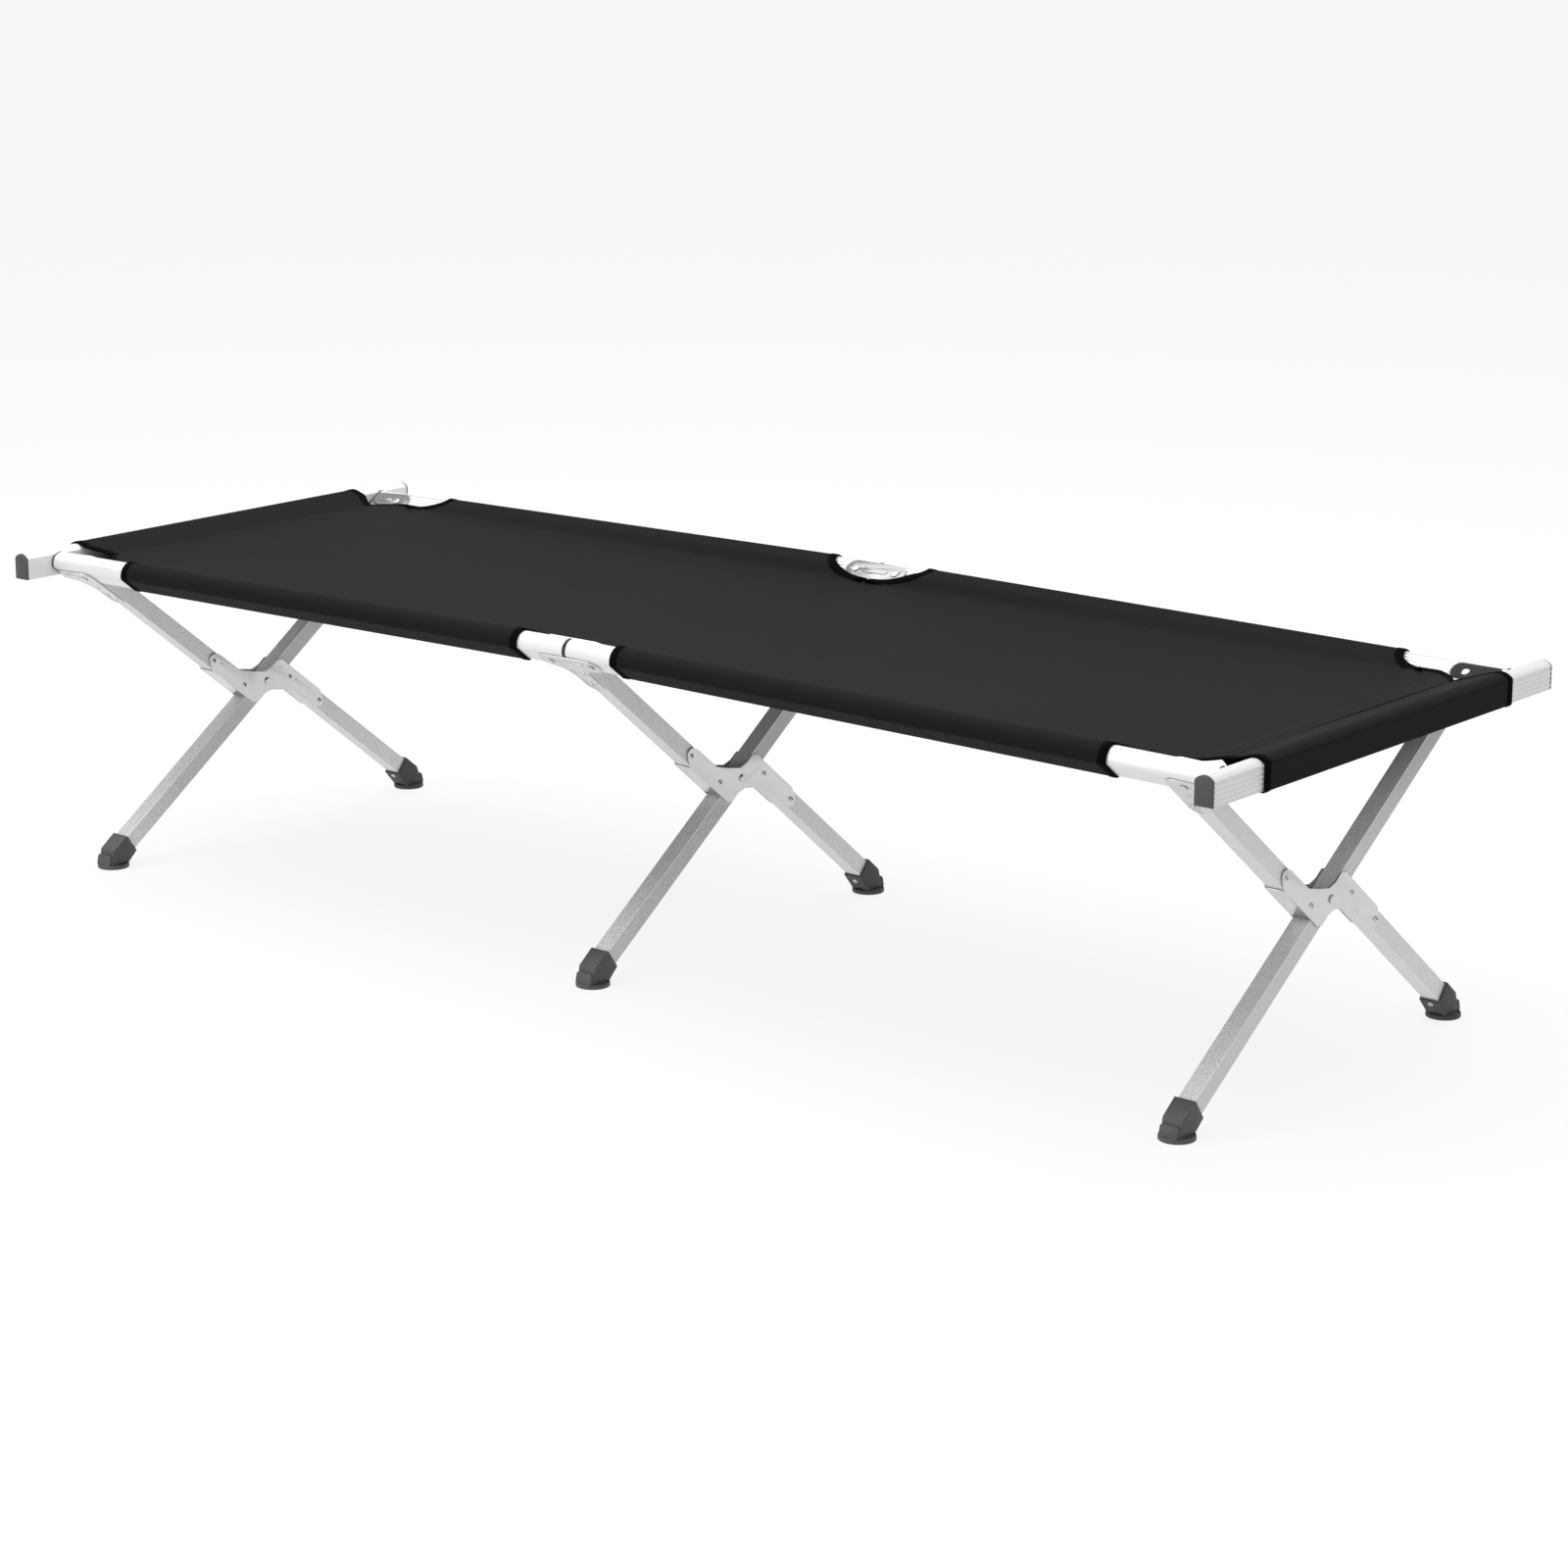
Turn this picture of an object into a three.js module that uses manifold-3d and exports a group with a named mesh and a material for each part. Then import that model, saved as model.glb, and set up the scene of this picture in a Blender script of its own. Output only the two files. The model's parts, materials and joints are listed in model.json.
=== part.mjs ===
// Folding camp cot. Millimetres, +X along the length, +Y to the rear, +Z up, origin on the floor at
// the middle. The front frame carries the front rail and the rear feet; the rear frame carries the
// rear rail and the front feet.
import * as THREE from 'three';
import { mergeVertices } from 'three/addons/utils/BufferGeometryUtils.js';
import Module from 'manifold-3d';

const wasm = await Module();
wasm.setup();

// Overall sizes
const LENGTH = 2100;
const WIDTH = 790;
const BAR_TOP = 479.5;

// Dome-topped extrusion shared by rails and end bars
const PROFILE_WIDTH = 26.6;
const PROFILE_SIDE = 31;
const PROFILE_RISE = 7;
const PROFILE_HEIGHT = PROFILE_SIDE + PROFILE_RISE;
const PROFILE_WALL = 1.6;
const DOME_STEPS = 8;

// Rails: how far the middle of the section is in from the bar's end and below the bar's middle, and
// how much the rail gains in height toward the centre hinge
const RAIL_INSET = 65.6;
const RAIL_DROP = 2.8;
const RAIL_RISE = 10;

// Leg sets: square tube, crossing at the hub; the front frame's legs are split there and pass beside
// the rear's
const SET_FROM_RAIL_END = 62.4;
const HUB_Z = 233;
const LEG = 25.4;
const LEG_WALL = 1.5;
const LEG_PASS = 2.2;
const LEG_START = 19.3;
const REAR_OFFSET = 1.5;

// Named clearances
const FIT = 0.3;
const RAIL_FIT = 0.5;
const JOINT_FIT = 0.8;

// Plastic plugs and caps
const PLUG_FLANGE = 2.5;
const PLUG_DEPTH = 16;
const PLUG_LIP = 0.6;
const PEG_RADIUS = 5;
const PEG_LENGTH = 11;
const CAP_FLANGE = 3;

// Steel brackets
const SHEET = 1.7;
const PIN_RADIUS = 3;
const PIN_HEAD = 5.5;
const PIN_HEAD_HEIGHT = 1.6;
const HUB_PIN_RADIUS = 4;
const HUB_PIN_HEAD = 5.6;
const HUB_WEB_START = 17.8;
const HUB_WEB_END = 107;
const HINGE_PIN_X = 35.5;
const END_PIN_OUT = 11.5;
const PIN_HEIGHT = 11.5;

// Feet
const BOOT_REACH = { front: 59, rear: 67 };
const BOOT_WALL = 2.5;
const BOOT_TOP_LENGTH = 32;
const BOOT_INSET = 24;
const BOOT_SOCKET = 30;
const DISC_RADIUS = 23.5;
const DISC_HEIGHT = 5;

// Fabric
const CLOTH = 1.2;
const SEAM_GAP = 23.6;
const SEAM_RISE = 5.8;
const END_SEAM_IN = 70;
const END_SEAM_DROP = 14.5;
const SLEEVE_FROM = 84;
const SLEEVE_SHORT = 89.7;
const END_SLEEVE_SHORT = 44.4;
const PANEL_SAG = 9;
const PANEL_CORNER = 24;
const PANEL_STEPS = 16;
const SLEEVE_STEPS = 6;

// Derived positions
const BAR_INNER_X = LENGTH / 2 - PROFILE_WIDTH;
const BAR_HALF = WIDTH / 2 - CAP_FLANGE;
const BAR_MIDDLE_Z = BAR_TOP - PROFILE_HEIGHT / 2;
const RAIL_Y = WIDTH / 2 - RAIL_INSET;
const RAIL_Z = BAR_MIDDLE_Z - RAIL_DROP;
const RAIL_OUT = BAR_INNER_X - RAIL_FIT - PLUG_FLANGE - FIT;
const RAIL_IN = JOINT_FIT / 2 + PLUG_FLANGE + FIT;
const SET_X = RAIL_OUT - SET_FROM_RAIL_END;
const HUB_OFFSET = LEG + LEG_PASS;
const BOOT_HALF = LEG / 2 + FIT + BOOT_WALL;
const BRACKET_INNER = Math.max(PROFILE_WIDTH, LEG) / 2 + RAIL_FIT;
const BRACKET_EDGE = LEG / 2 + RAIL_FIT + SHEET;
const HUB_WEB_FROM = LEG / 2 + HUB_WEB_START;
const SEAM_Y = RAIL_Y - BRACKET_INNER - SEAM_GAP;
const SEAM_Z = RAIL_Z + SEAM_RISE;
const END_SEAM_X = LENGTH / 2 - END_SEAM_IN;
const END_SEAM_Z = BAR_TOP - END_SEAM_DROP;
const SLEEVE_TO = SET_X - SLEEVE_SHORT;
const END_SLEEVE_Y = RAIL_Y - END_SLEEVE_SHORT;
const SIDES = { front: -1, rear: 1 };
const HALVES = { left: -1, right: 1 };
const SETS = { left: -SET_X, centre: 0, right: SET_X };

const ALUMINIUM = new THREE.MeshStandardMaterial({ color: 0xd4d6d8, roughness: 0.35, metalness: 0.9 });
const STEEL = new THREE.MeshStandardMaterial({ color: 0xbfc2c4, roughness: 0.3, metalness: 0.95 });
const CLOTH_BLACK = new THREE.MeshStandardMaterial({ color: 0x323233, roughness: 0.95, metalness: 0 });
const GREY_PLASTIC = new THREE.MeshStandardMaterial({ color: 0x555657, roughness: 0.55, metalness: 0 });
const DARK_PLASTIC = new THREE.MeshStandardMaterial({ color: 0x414243, roughness: 0.6, metalness: 0 });
const BLACK_PLASTIC = new THREE.MeshStandardMaterial({ color: 0x1c1c1d, roughness: 0.5, metalness: 0 });

const X = new THREE.Vector3(1, 0, 0);

// How far the rail has been lifted at a place along its length
function lift(x) {
  return RAIL_RISE * Math.max(0, 1 - Math.abs(x) / RAIL_OUT);
}

// Angle and reach of each frame's leg in the set at x, from the hub to the middle of its rail; the
// upper part of the leg runs beside the hub line by its offset
function legSet(x) {
  const rise = RAIL_Z + lift(x) - HUB_Z;
  const reach = Math.hypot(RAIL_Y, rise);
  const leg = (offset) => ({
    angle: Math.atan2(rise, RAIL_Y) + Math.asin(offset / reach),
    reach: Math.sqrt(reach ** 2 - offset ** 2),
  });
  return { rear: leg(REAR_OFFSET), front: leg(HUB_OFFSET) };
}

const ROLL = { front: legSet(SET_X).front.angle, rear: legSet(SET_X).rear.angle };

// Directions of a frame at an angle: up its legs, and square to them toward the top and the inside
function axes(side, angle) {
  const s = SIDES[side];
  return {
    up: new THREE.Vector3(0, s * Math.cos(angle), Math.sin(angle)),
    out: new THREE.Vector3(0, -s * Math.sin(angle), Math.cos(angle)),
  };
}

// Solids
function toSolid(geometry) {
  const bare = geometry.clone();
  bare.deleteAttribute('normal');
  bare.deleteAttribute('uv');
  const merged = mergeVertices(bare, 1e-4);
  const mesh = new wasm.Mesh({
    numProp: 3,
    vertProperties: new Float32Array(merged.attributes.position.array),
    triVerts: new Uint32Array(merged.index.array),
  });
  return new wasm.Manifold(mesh);
}

function toGeometry(solid) {
  const mesh = solid.getMesh();
  const geometry = new THREE.BufferGeometry();
  geometry.setAttribute('position', new THREE.BufferAttribute(new Float32Array(mesh.vertProperties), 3));
  geometry.setIndex(new THREE.BufferAttribute(new Uint32Array(mesh.triVerts), 1));
  return geometry;
}

function join(parts) {
  let total = toSolid(parts[0]);
  for (const part of parts.slice(1)) {
    total = total.add(toSolid(part));
  }
  return toGeometry(total);
}

function cut(geometry, tools) {
  let total = toSolid(geometry);
  for (const tool of tools) {
    total = total.subtract(toSolid(tool));
  }
  return toGeometry(total);
}

// Section of the extrusion, drawn in by an inset, with its middle at the origin
function domeOutline(inset) {
  const radius = (PROFILE_WIDTH ** 2 / 4 + PROFILE_RISE ** 2) / (2 * PROFILE_RISE);
  const centre = PROFILE_HEIGHT / 2 - radius;
  const half = PROFILE_WIDTH / 2 - inset;
  const r = radius - inset;
  const sweep = Math.asin(half / r);
  const bottom = -PROFILE_HEIGHT / 2 + inset;
  const points = [[-half, bottom], [half, bottom]];
  for (let i = 0; i <= DOME_STEPS; i += 1) {
    const a = sweep - (2 * sweep * i) / DOME_STEPS;
    points.push([r * Math.sin(a), centre + r * Math.cos(a)]);
  }
  return points;
}

function toShape(points, hole) {
  const shape = new THREE.Shape(points.map((p) => new THREE.Vector2(p[0], p[1])));
  if (hole) {
    shape.holes.push(new THREE.Path(hole.map((p) => new THREE.Vector2(p[0], p[1]))));
  }
  return shape;
}

// Prism of an outline in the plane of two directions, from the origin along their cross product
function prism(points, hole, origin, right, up, depth, steps = 1) {
  const geometry = new THREE.ExtrudeGeometry(toShape(points, hole), { depth, steps, bevelEnabled: false });
  const along = new THREE.Vector3().crossVectors(right, up);
  const matrix = new THREE.Matrix4().makeBasis(right, up, along).setPosition(origin);
  return geometry.applyMatrix4(matrix);
}

function rod(radius, from, direction, length, steps = 20) {
  const geometry = new THREE.CylinderGeometry(radius, radius, length, steps);
  geometry.translate(0, length / 2, 0);
  const turn = new THREE.Quaternion().setFromUnitVectors(new THREE.Vector3(0, 1, 0), direction);
  geometry.applyQuaternion(turn);
  return geometry.translate(from.x, from.y, from.z);
}

// Rivet-like pin with a domed head at each end, centred on a point
function pin(centre, direction, shank, radius, head) {
  const inner = shank / 2;
  const outer = inner + PIN_HEAD_HEIGHT;
  const profile = [
    [0, -outer], [head * 0.6, -outer], [head, -inner - 0.5], [head, -inner], [radius, -inner],
    [radius, inner], [head, inner], [head, inner + 0.5], [head * 0.6, outer], [0, outer],
  ];
  const geometry = new THREE.LatheGeometry(profile.map((p) => new THREE.Vector2(p[0], p[1])), 16);
  const turn = new THREE.Quaternion().setFromUnitVectors(new THREE.Vector3(0, 1, 0), direction);
  geometry.applyQuaternion(turn);
  return toGeometry(toSolid(geometry.translate(centre.x, centre.y, centre.z)));
}

function liftWithRail(geometry, weight = () => 1) {
  const place = geometry.attributes.position;
  for (let i = 0; i < place.count; i += 1) {
    place.setZ(i, place.getZ(i) + lift(place.getX(i)) * weight(place.getY(i)));
  }
  return geometry;
}

function railMiddle(side, x) {
  return new THREE.Vector3(x, SIDES[side] * RAIL_Y, RAIL_Z);
}

// A section following the rail of one side between two places along X
function alongRail(side, points, hole, from, to, steps) {
  const { up, out } = axes(side, ROLL[side]);
  const right = out.clone().multiplyScalar(-SIDES[side]);
  return prism(points, hole, railMiddle(side, from), right, up, to - from, steps);
}

// Rails, with the holes of their bracket pins
function railPinCentre(side, half, x) {
  const { up } = axes(side, ROLL[side]);
  const centre = railMiddle(side, HALVES[half] * x);
  centre.addScaledVector(up, PIN_HEIGHT - PROFILE_HEIGHT / 2);
  centre.z += lift(x);
  return centre;
}

function rail(side, half) {
  const h = HALVES[half];
  const ends = [h * RAIL_IN, h * RAIL_OUT].sort((a, b) => a - b);
  const tube = alongRail(side, domeOutline(0), domeOutline(PROFILE_WALL), ends[0], ends[1]);
  const { out } = axes(side, ROLL[side]);
  const tools = [HINGE_PIN_X, SET_X + END_PIN_OUT].map((x) => {
    const from = railPinCentre(side, half, x).addScaledVector(out, -PROFILE_WIDTH);
    return rod(PIN_RADIUS + FIT, from, out, 2 * PROFILE_WIDTH, 16);
  });
  return cut(liftWithRail(tube), tools);
}

function endPlug(side, half) {
  const h = HALVES[half];
  const span = (a, b) => [h * a, h * b].sort((p, q) => p - q);
  const body = span(RAIL_OUT - PLUG_DEPTH, RAIL_OUT + FIT + PLUG_FLANGE / 2);
  const flange = span(RAIL_OUT + FIT, RAIL_OUT + FIT + PLUG_FLANGE);
  const peg = rod(PEG_RADIUS, railMiddle(side, h * (RAIL_OUT + FIT)), X.clone().multiplyScalar(h),
    PLUG_FLANGE + RAIL_FIT + PEG_LENGTH);
  return join([
    alongRail(side, domeOutline(PROFILE_WALL + FIT), null, body[0], body[1]),
    alongRail(side, domeOutline(-PLUG_LIP), null, flange[0], flange[1]),
    peg,
  ]);
}

function hingePlug(side, half) {
  const h = HALVES[half];
  const span = (a, b) => [h * a, h * b].sort((p, q) => p - q);
  const body = span(JOINT_FIT / 2 + PLUG_FLANGE / 2, RAIL_IN + PLUG_DEPTH);
  const flange = span(JOINT_FIT / 2, JOINT_FIT / 2 + PLUG_FLANGE);
  const parts = [
    alongRail(side, domeOutline(PROFILE_WALL + FIT + 0.1), null, body[0], body[1]),
    alongRail(side, domeOutline(0), null, flange[0], flange[1]),
  ];
  return join(parts.map((part) => liftWithRail(part)));
}

// End bars stand dome up; their inner side has a hole for each rail peg
function barSection(half, points, hole, from, to) {
  const middle = new THREE.Vector3(HALVES[half] * (LENGTH - PROFILE_WIDTH) / 2, from, BAR_MIDDLE_Z);
  const right = new THREE.Vector3(-1, 0, 0);
  return prism(points, hole, middle, right, new THREE.Vector3(0, 0, 1), to - from);
}

function endBar(half) {
  const tube = barSection(half, domeOutline(0), domeOutline(PROFILE_WALL), -BAR_HALF, BAR_HALF);
  const inward = X.clone().multiplyScalar(-HALVES[half]);
  const tools = Object.keys(SIDES).map((side) => {
    const from = railMiddle(side, HALVES[half] * (BAR_INNER_X + 2 * PROFILE_WALL));
    return rod(PEG_RADIUS + RAIL_FIT, from, inward, 4 * PROFILE_WALL);
  });
  return cut(tube, tools);
}

function endCap(half, side) {
  const s = SIDES[side];
  const span = (a, b) => [s * a, s * b].sort((p, q) => p - q);
  const body = span(BAR_HALF - PLUG_DEPTH, BAR_HALF + CAP_FLANGE / 2);
  const flange = span(BAR_HALF + FIT, BAR_HALF + CAP_FLANGE);
  return join([
    barSection(half, domeOutline(PROFILE_WALL + FIT), null, body[0], body[1]),
    barSection(half, domeOutline(0.1), null, flange[0], flange[1]),
  ]);
}

// Square tube of one leg between two distances along it, at an offset from the hub line
function legTube(side, x, angle, offset, from, to) {
  const { up, out } = axes(side, angle);
  const right = X.clone().multiplyScalar(-SIDES[side]);
  const square = (half) => [[-half, -half], [half, -half], [half, half], [-half, half]];
  const origin = new THREE.Vector3(x, 0, HUB_Z).addScaledVector(out, offset).addScaledVector(up, from);
  return prism(square(LEG / 2), square(LEG / 2 - LEG_WALL), origin, right, out, to - from);
}

function floorReach(angle, offset) {
  return (HUB_Z + offset * Math.cos(angle)) / Math.sin(angle);
}

function legTop(reach) {
  return reach - PROFILE_HEIGHT / 2 - JOINT_FIT;
}

function rearFrameLeg(x) {
  const { angle, reach } = legSet(x).rear;
  const bottom = floorReach(angle, -REAR_OFFSET) - BOOT_REACH.front + BOOT_SOCKET - FIT;
  const tube = legTube('rear', x, angle, -REAR_OFFSET, -bottom, legTop(reach));
  const from = new THREE.Vector3(x - LEG, 0, HUB_Z);
  return cut(tube, [rod(HUB_PIN_RADIUS + 0.1, from, X, 2 * LEG, 16)]);
}

function frontFrameUpperLeg(x) {
  const { angle, reach } = legSet(x).front;
  return legTube('front', x, angle, -HUB_OFFSET, LEG / 2 + LEG_START, legTop(reach));
}

function frontFrameLowerLeg(x) {
  const { angle } = legSet(x).front;
  const bottom = floorReach(angle, HUB_OFFSET) - BOOT_REACH.rear + BOOT_SOCKET - FIT;
  return legTube('front', x, angle, HUB_OFFSET, -bottom, -LEG / 2 - LEG_START);
}

// Closed solid between two copies of an outline in the YZ plane, each point with its own half width
function taperedPrism(x, points, halves) {
  const flat = points.map((p) => new THREE.Vector2(p[0], p[1]));
  const area = THREE.ShapeUtils.area(flat);
  const order = area > 0 ? points.map((p, i) => i) : points.map((p, i) => points.length - 1 - i);
  const ring = order.map((i) => flat[i]);
  const count = ring.length;
  const place = [];
  for (const sign of [1, -1]) {
    order.forEach((i, k) => place.push(x + sign * halves[i], ring[k].x, ring[k].y));
  }
  const index = [];
  for (const [a, b, c] of THREE.ShapeUtils.triangulateShape(ring, [])) {
    index.push(a, b, c, count + a, count + c, count + b);
  }
  for (let i = 0; i < count; i += 1) {
    const j = (i + 1) % count;
    index.push(i, count + i, count + j, i, count + j, j);
  }
  const geometry = new THREE.BufferGeometry();
  geometry.setAttribute('position', new THREE.Float32BufferAttribute(place, 3));
  geometry.setIndex(index);
  return geometry;
}

// Boot at the lower end of a leg: a socket square to the leg, a block below it and a round base on the floor
function foot(place, x) {
  const isFront = place === 'front';
  const { angle } = isFront ? legSet(x).rear : legSet(x).front;
  const offset = isFront ? -REAR_OFFSET : HUB_OFFSET;
  const s = SIDES[place];
  const down = [Math.cos(angle), -Math.sin(angle)];
  const across = [Math.sin(angle), Math.cos(angle)];
  const reach = floorReach(angle, offset);
  const axisFloor = offset * across[0] + reach * down[0];
  const disc = axisFloor - BOOT_INSET;
  const back = BOOT_REACH[place];
  const mouth = [axisFloor - back * down[0], -back * down[1]];
  const at = (a, c) => [mouth[0] + a * down[0] + c * across[0], mouth[1] + a * down[1] + c * across[1]];
  const outline = [
    at(0, BOOT_HALF), at(BOOT_TOP_LENGTH, BOOT_HALF), [disc + 16, DISC_HEIGHT - 1],
    [disc - 17, DISC_HEIGHT - 1], at(0, -BOOT_HALF),
  ];
  const halves = [BOOT_HALF, BOOT_HALF - 1, BOOT_HALF - 1.5, BOOT_HALF - 1.5, BOOT_HALF];
  const body = taperedPrism(x, outline.map((p) => [s * p[0], p[1]]), halves);
  const foot = new THREE.Vector3(x, s * disc, 0);
  const base = rod(DISC_RADIUS, foot, new THREE.Vector3(0, 0, 1), DISC_HEIGHT, 32);
  const legSide = isFront ? 'rear' : 'front';
  const { up, out } = axes(legSide, angle);
  const half = LEG / 2 + FIT;
  const socketEnd = reach - back + BOOT_SOCKET;
  const origin = new THREE.Vector3(x, 0, HUB_Z).addScaledVector(out, offset).addScaledVector(up, -socketEnd);
  const right = X.clone().multiplyScalar(-SIDES[legSide]);
  const square = [[-half, -half], [half, -half], [half, half], [-half, half]];
  const socket = prism(square, null, origin, right, out, 2 * BOOT_SOCKET);
  return cut(join([body, base]), [socket]);
}

// Half of the outline of a hub side plate; the other half is the same turned half a turn about the pivot
const HUB_EDGE = [
  [-8, -1], [-HUB_WEB_FROM, -1], [-HUB_WEB_END, -1], [-118, -0.86], [-125, -0.7], [-126, -0.55],
  [-121, -0.4], [-110, -0.335], [-58, -0.325], [-36, -0.08], [-15, 0.19], [-6.5, 0.48], [-2, 0.86],
];

function hubBracket(x) {
  const { angle } = legSet(x).front;
  const { up, out } = axes('front', angle);
  const edge = HUB_OFFSET + LEG / 2 + FIT + SHEET;
  const half = HUB_EDGE.map(([along, across]) => [-along, across * edge]);
  const outline = [...half, ...half.map(([a, c]) => [-a, -c])].map(([a, c]) => [c, a]);
  const inner = LEG / 2 + RAIL_FIT;
  const right = out.clone().multiplyScalar(1);
  const plate = (at) => {
    const origin = new THREE.Vector3(at, 0, HUB_Z);
    return prism(outline, null, origin, right, up, SHEET);
  };
  const web = (sign) => {
    const outer = [[edge, -HUB_WEB_END], [edge, -HUB_WEB_FROM]];
    const band = [[edge - SHEET, -HUB_WEB_END], ...outer, [edge - SHEET, -HUB_WEB_FROM]];
    const origin = new THREE.Vector3(x - inner - SHEET, 0, HUB_Z);
    return prism(band.map(([c, a]) => [sign * c, sign * a]), null, origin, right, up, 2 * (inner + SHEET));
  };
  const body = join([plate(x - inner - SHEET), plate(x + inner), web(1), web(-1)]);
  const from = new THREE.Vector3(x - 2 * LEG, 0, HUB_Z);
  return cut(body, [rod(HUB_PIN_RADIUS + FIT, from, X, 4 * LEG, 16)]);
}

function hubPin(x) {
  const shank = LEG + 2 * (RAIL_FIT + SHEET + FIT);
  return pin(new THREE.Vector3(x, 0, HUB_Z), X, shank, HUB_PIN_RADIUS, HUB_PIN_HEAD);
}

// Leg-top brackets: outlines in (outboard, up the leg) with the underside of the rail at zero height
const END_BRACKET = [
  [60, 3], [60, 24], [2, 28.5], [-5, 26.5], [-10, 22], [0.3 - LEG / 2, 14], [-LEG / 2, 4], [-LEG / 2, -52],
  [-8, -59], [0, -61], [8, -59], [BRACKET_EDGE, -52], [BRACKET_EDGE, -26], [BRACKET_EDGE + 2, -17],
  [23, -9], [32, -3], [44, 0],
];
const HINGE_BRACKET = [
  [41, 28.5], [-41, 28.5], [-49, 24], [-53, 15], [-51, 6], [-44, 1], [-30, -3], [-20, -11],
  [-BRACKET_EDGE, -24], [-BRACKET_EDGE, -52], [-8, -59], [0, -61], [8, -59], [LEG / 2, -52], [LEG / 2, -16],
  [20, -5], [44, 1], [51, 6], [53, 15], [49, 24],
];

function legTopBracket(side, set) {
  const x = SETS[set];
  const turn = set === 'left' ? -1 : 1;
  const { angle, reach } = legSet(x)[side];
  const middle = (angle + ROLL[side]) / 2;
  const { up, out } = axes(side, middle);
  const inner = BRACKET_INNER;
  const x0 = set === 'centre' ? HINGE_PIN_X : x;
  const centre = new THREE.Vector3(x, SIDES[side] * RAIL_Y, RAIL_Z + lift(x0));
  centre.addScaledVector(up, -PROFILE_HEIGHT / 2);
  const right = X.clone().multiplyScalar(SIDES[side]);
  const flip = SIDES[side] * turn;
  const outline = (set === 'centre' ? HINGE_BRACKET : END_BRACKET).map(([a, c]) => [a * flip, c]);
  const alongOut = new THREE.Vector3().crossVectors(right, up);
  const sign = Math.sign(alongOut.dot(out));
  const plate = (level) => {
    const origin = centre.clone().addScaledVector(out, level);
    return prism(outline, null, origin, right, up, SHEET);
  };
  const low = sign > 0 ? -inner - SHEET : inner + SHEET;
  const high = sign > 0 ? inner : -inner;
  const side0 = set === 'centre' ? -1 : 1;
  const webIn = BRACKET_EDGE - SHEET;
  const band = [[webIn, -52], [BRACKET_EDGE, -52], [BRACKET_EDGE, -24], [webIn, -24]];
  const webOrigin = centre.clone().addScaledVector(out, low);
  const web = prism(band.map(([a, c]) => [a * flip * side0, c]), null, webOrigin, right, up,
    2 * (inner + SHEET));
  const body = join([plate(low), plate(high), web]);
  const halves = set === 'centre' ? ['left', 'right'] : [set];
  const at = set === 'centre' ? HINGE_PIN_X : SET_X + END_PIN_OUT;
  const tools = halves.map((half) => {
    const from = railPinCentre(side, half, at).addScaledVector(out, -2 * PROFILE_WIDTH);
    return rod(PIN_RADIUS + FIT, from, out, 4 * PROFILE_WIDTH, 16);
  });
  return cut(body, tools);
}

function railPin(side, half, x) {
  const { out } = axes(side, ROLL[side]);
  const shank = 2 * (BRACKET_INNER + SHEET + RAIL_FIT);
  return pin(railPinCentre(side, half, x), out, shank, PIN_RADIUS, PIN_HEAD);
}

// Convex outline of a section and one more point
function hull(points) {
  const sorted = [...points].sort((a, b) => a[0] - b[0] || a[1] - b[1]);
  const turn = (o, a, b) => (a[0] - o[0]) * (b[1] - o[1]) - (a[1] - o[1]) * (b[0] - o[0]);
  const chain = (list) => {
    const out = [];
    for (const p of list) {
      while (out.length > 1 && turn(out[out.length - 2], out[out.length - 1], p) <= 1e-6) {
        out.pop();
      }
      out.push(p);
    }
    return out.slice(0, -1);
  };
  return [...chain(sorted), ...chain(sorted.reverse())];
}

// Fabric loop round a rail, closed by the seam beside it; the seam keeps its height while the rail rises
function sideSleeve(side, half) {
  const h = HALVES[half];
  const s = SIDES[side];
  const { up, out } = axes(side, ROLL[side]);
  const right = out.clone().multiplyScalar(-s);
  const toSection = (y, z) => {
    const d = new THREE.Vector3(0, y - s * RAIL_Y, z - RAIL_Z);
    return [d.dot(right), d.dot(up)];
  };
  const outer = hull([...domeOutline(-FIT - CLOTH), toSection(s * SEAM_Y, SEAM_Z)]);
  const inner = hull([...domeOutline(-FIT), toSection(s * (SEAM_Y + 4), SEAM_Z)]);
  const ends = [h * SLEEVE_FROM, h * SLEEVE_TO].sort((a, b) => a - b);
  const loop = alongRail(side, outer, inner, ends[0], ends[1], SLEEVE_STEPS);
  return liftWithRail(loop, (y) => (Math.abs(y) < SEAM_Y + 5 ? 0 : 1));
}

function endSleeve(half) {
  const h = HALVES[half];
  const middleX = (LENGTH - PROFILE_WIDTH) / 2;
  const toSection = (x, z) => [h * (middleX - x), z - BAR_MIDDLE_Z];
  const outer = hull([...domeOutline(-FIT - CLOTH), toSection(END_SEAM_X, END_SEAM_Z)]);
  const inner = hull([...domeOutline(-FIT), toSection(END_SEAM_X + 4, END_SEAM_Z)]);
  return barSection(half, outer, inner, -END_SLEEVE_Y, END_SLEEVE_Y);
}

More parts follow.
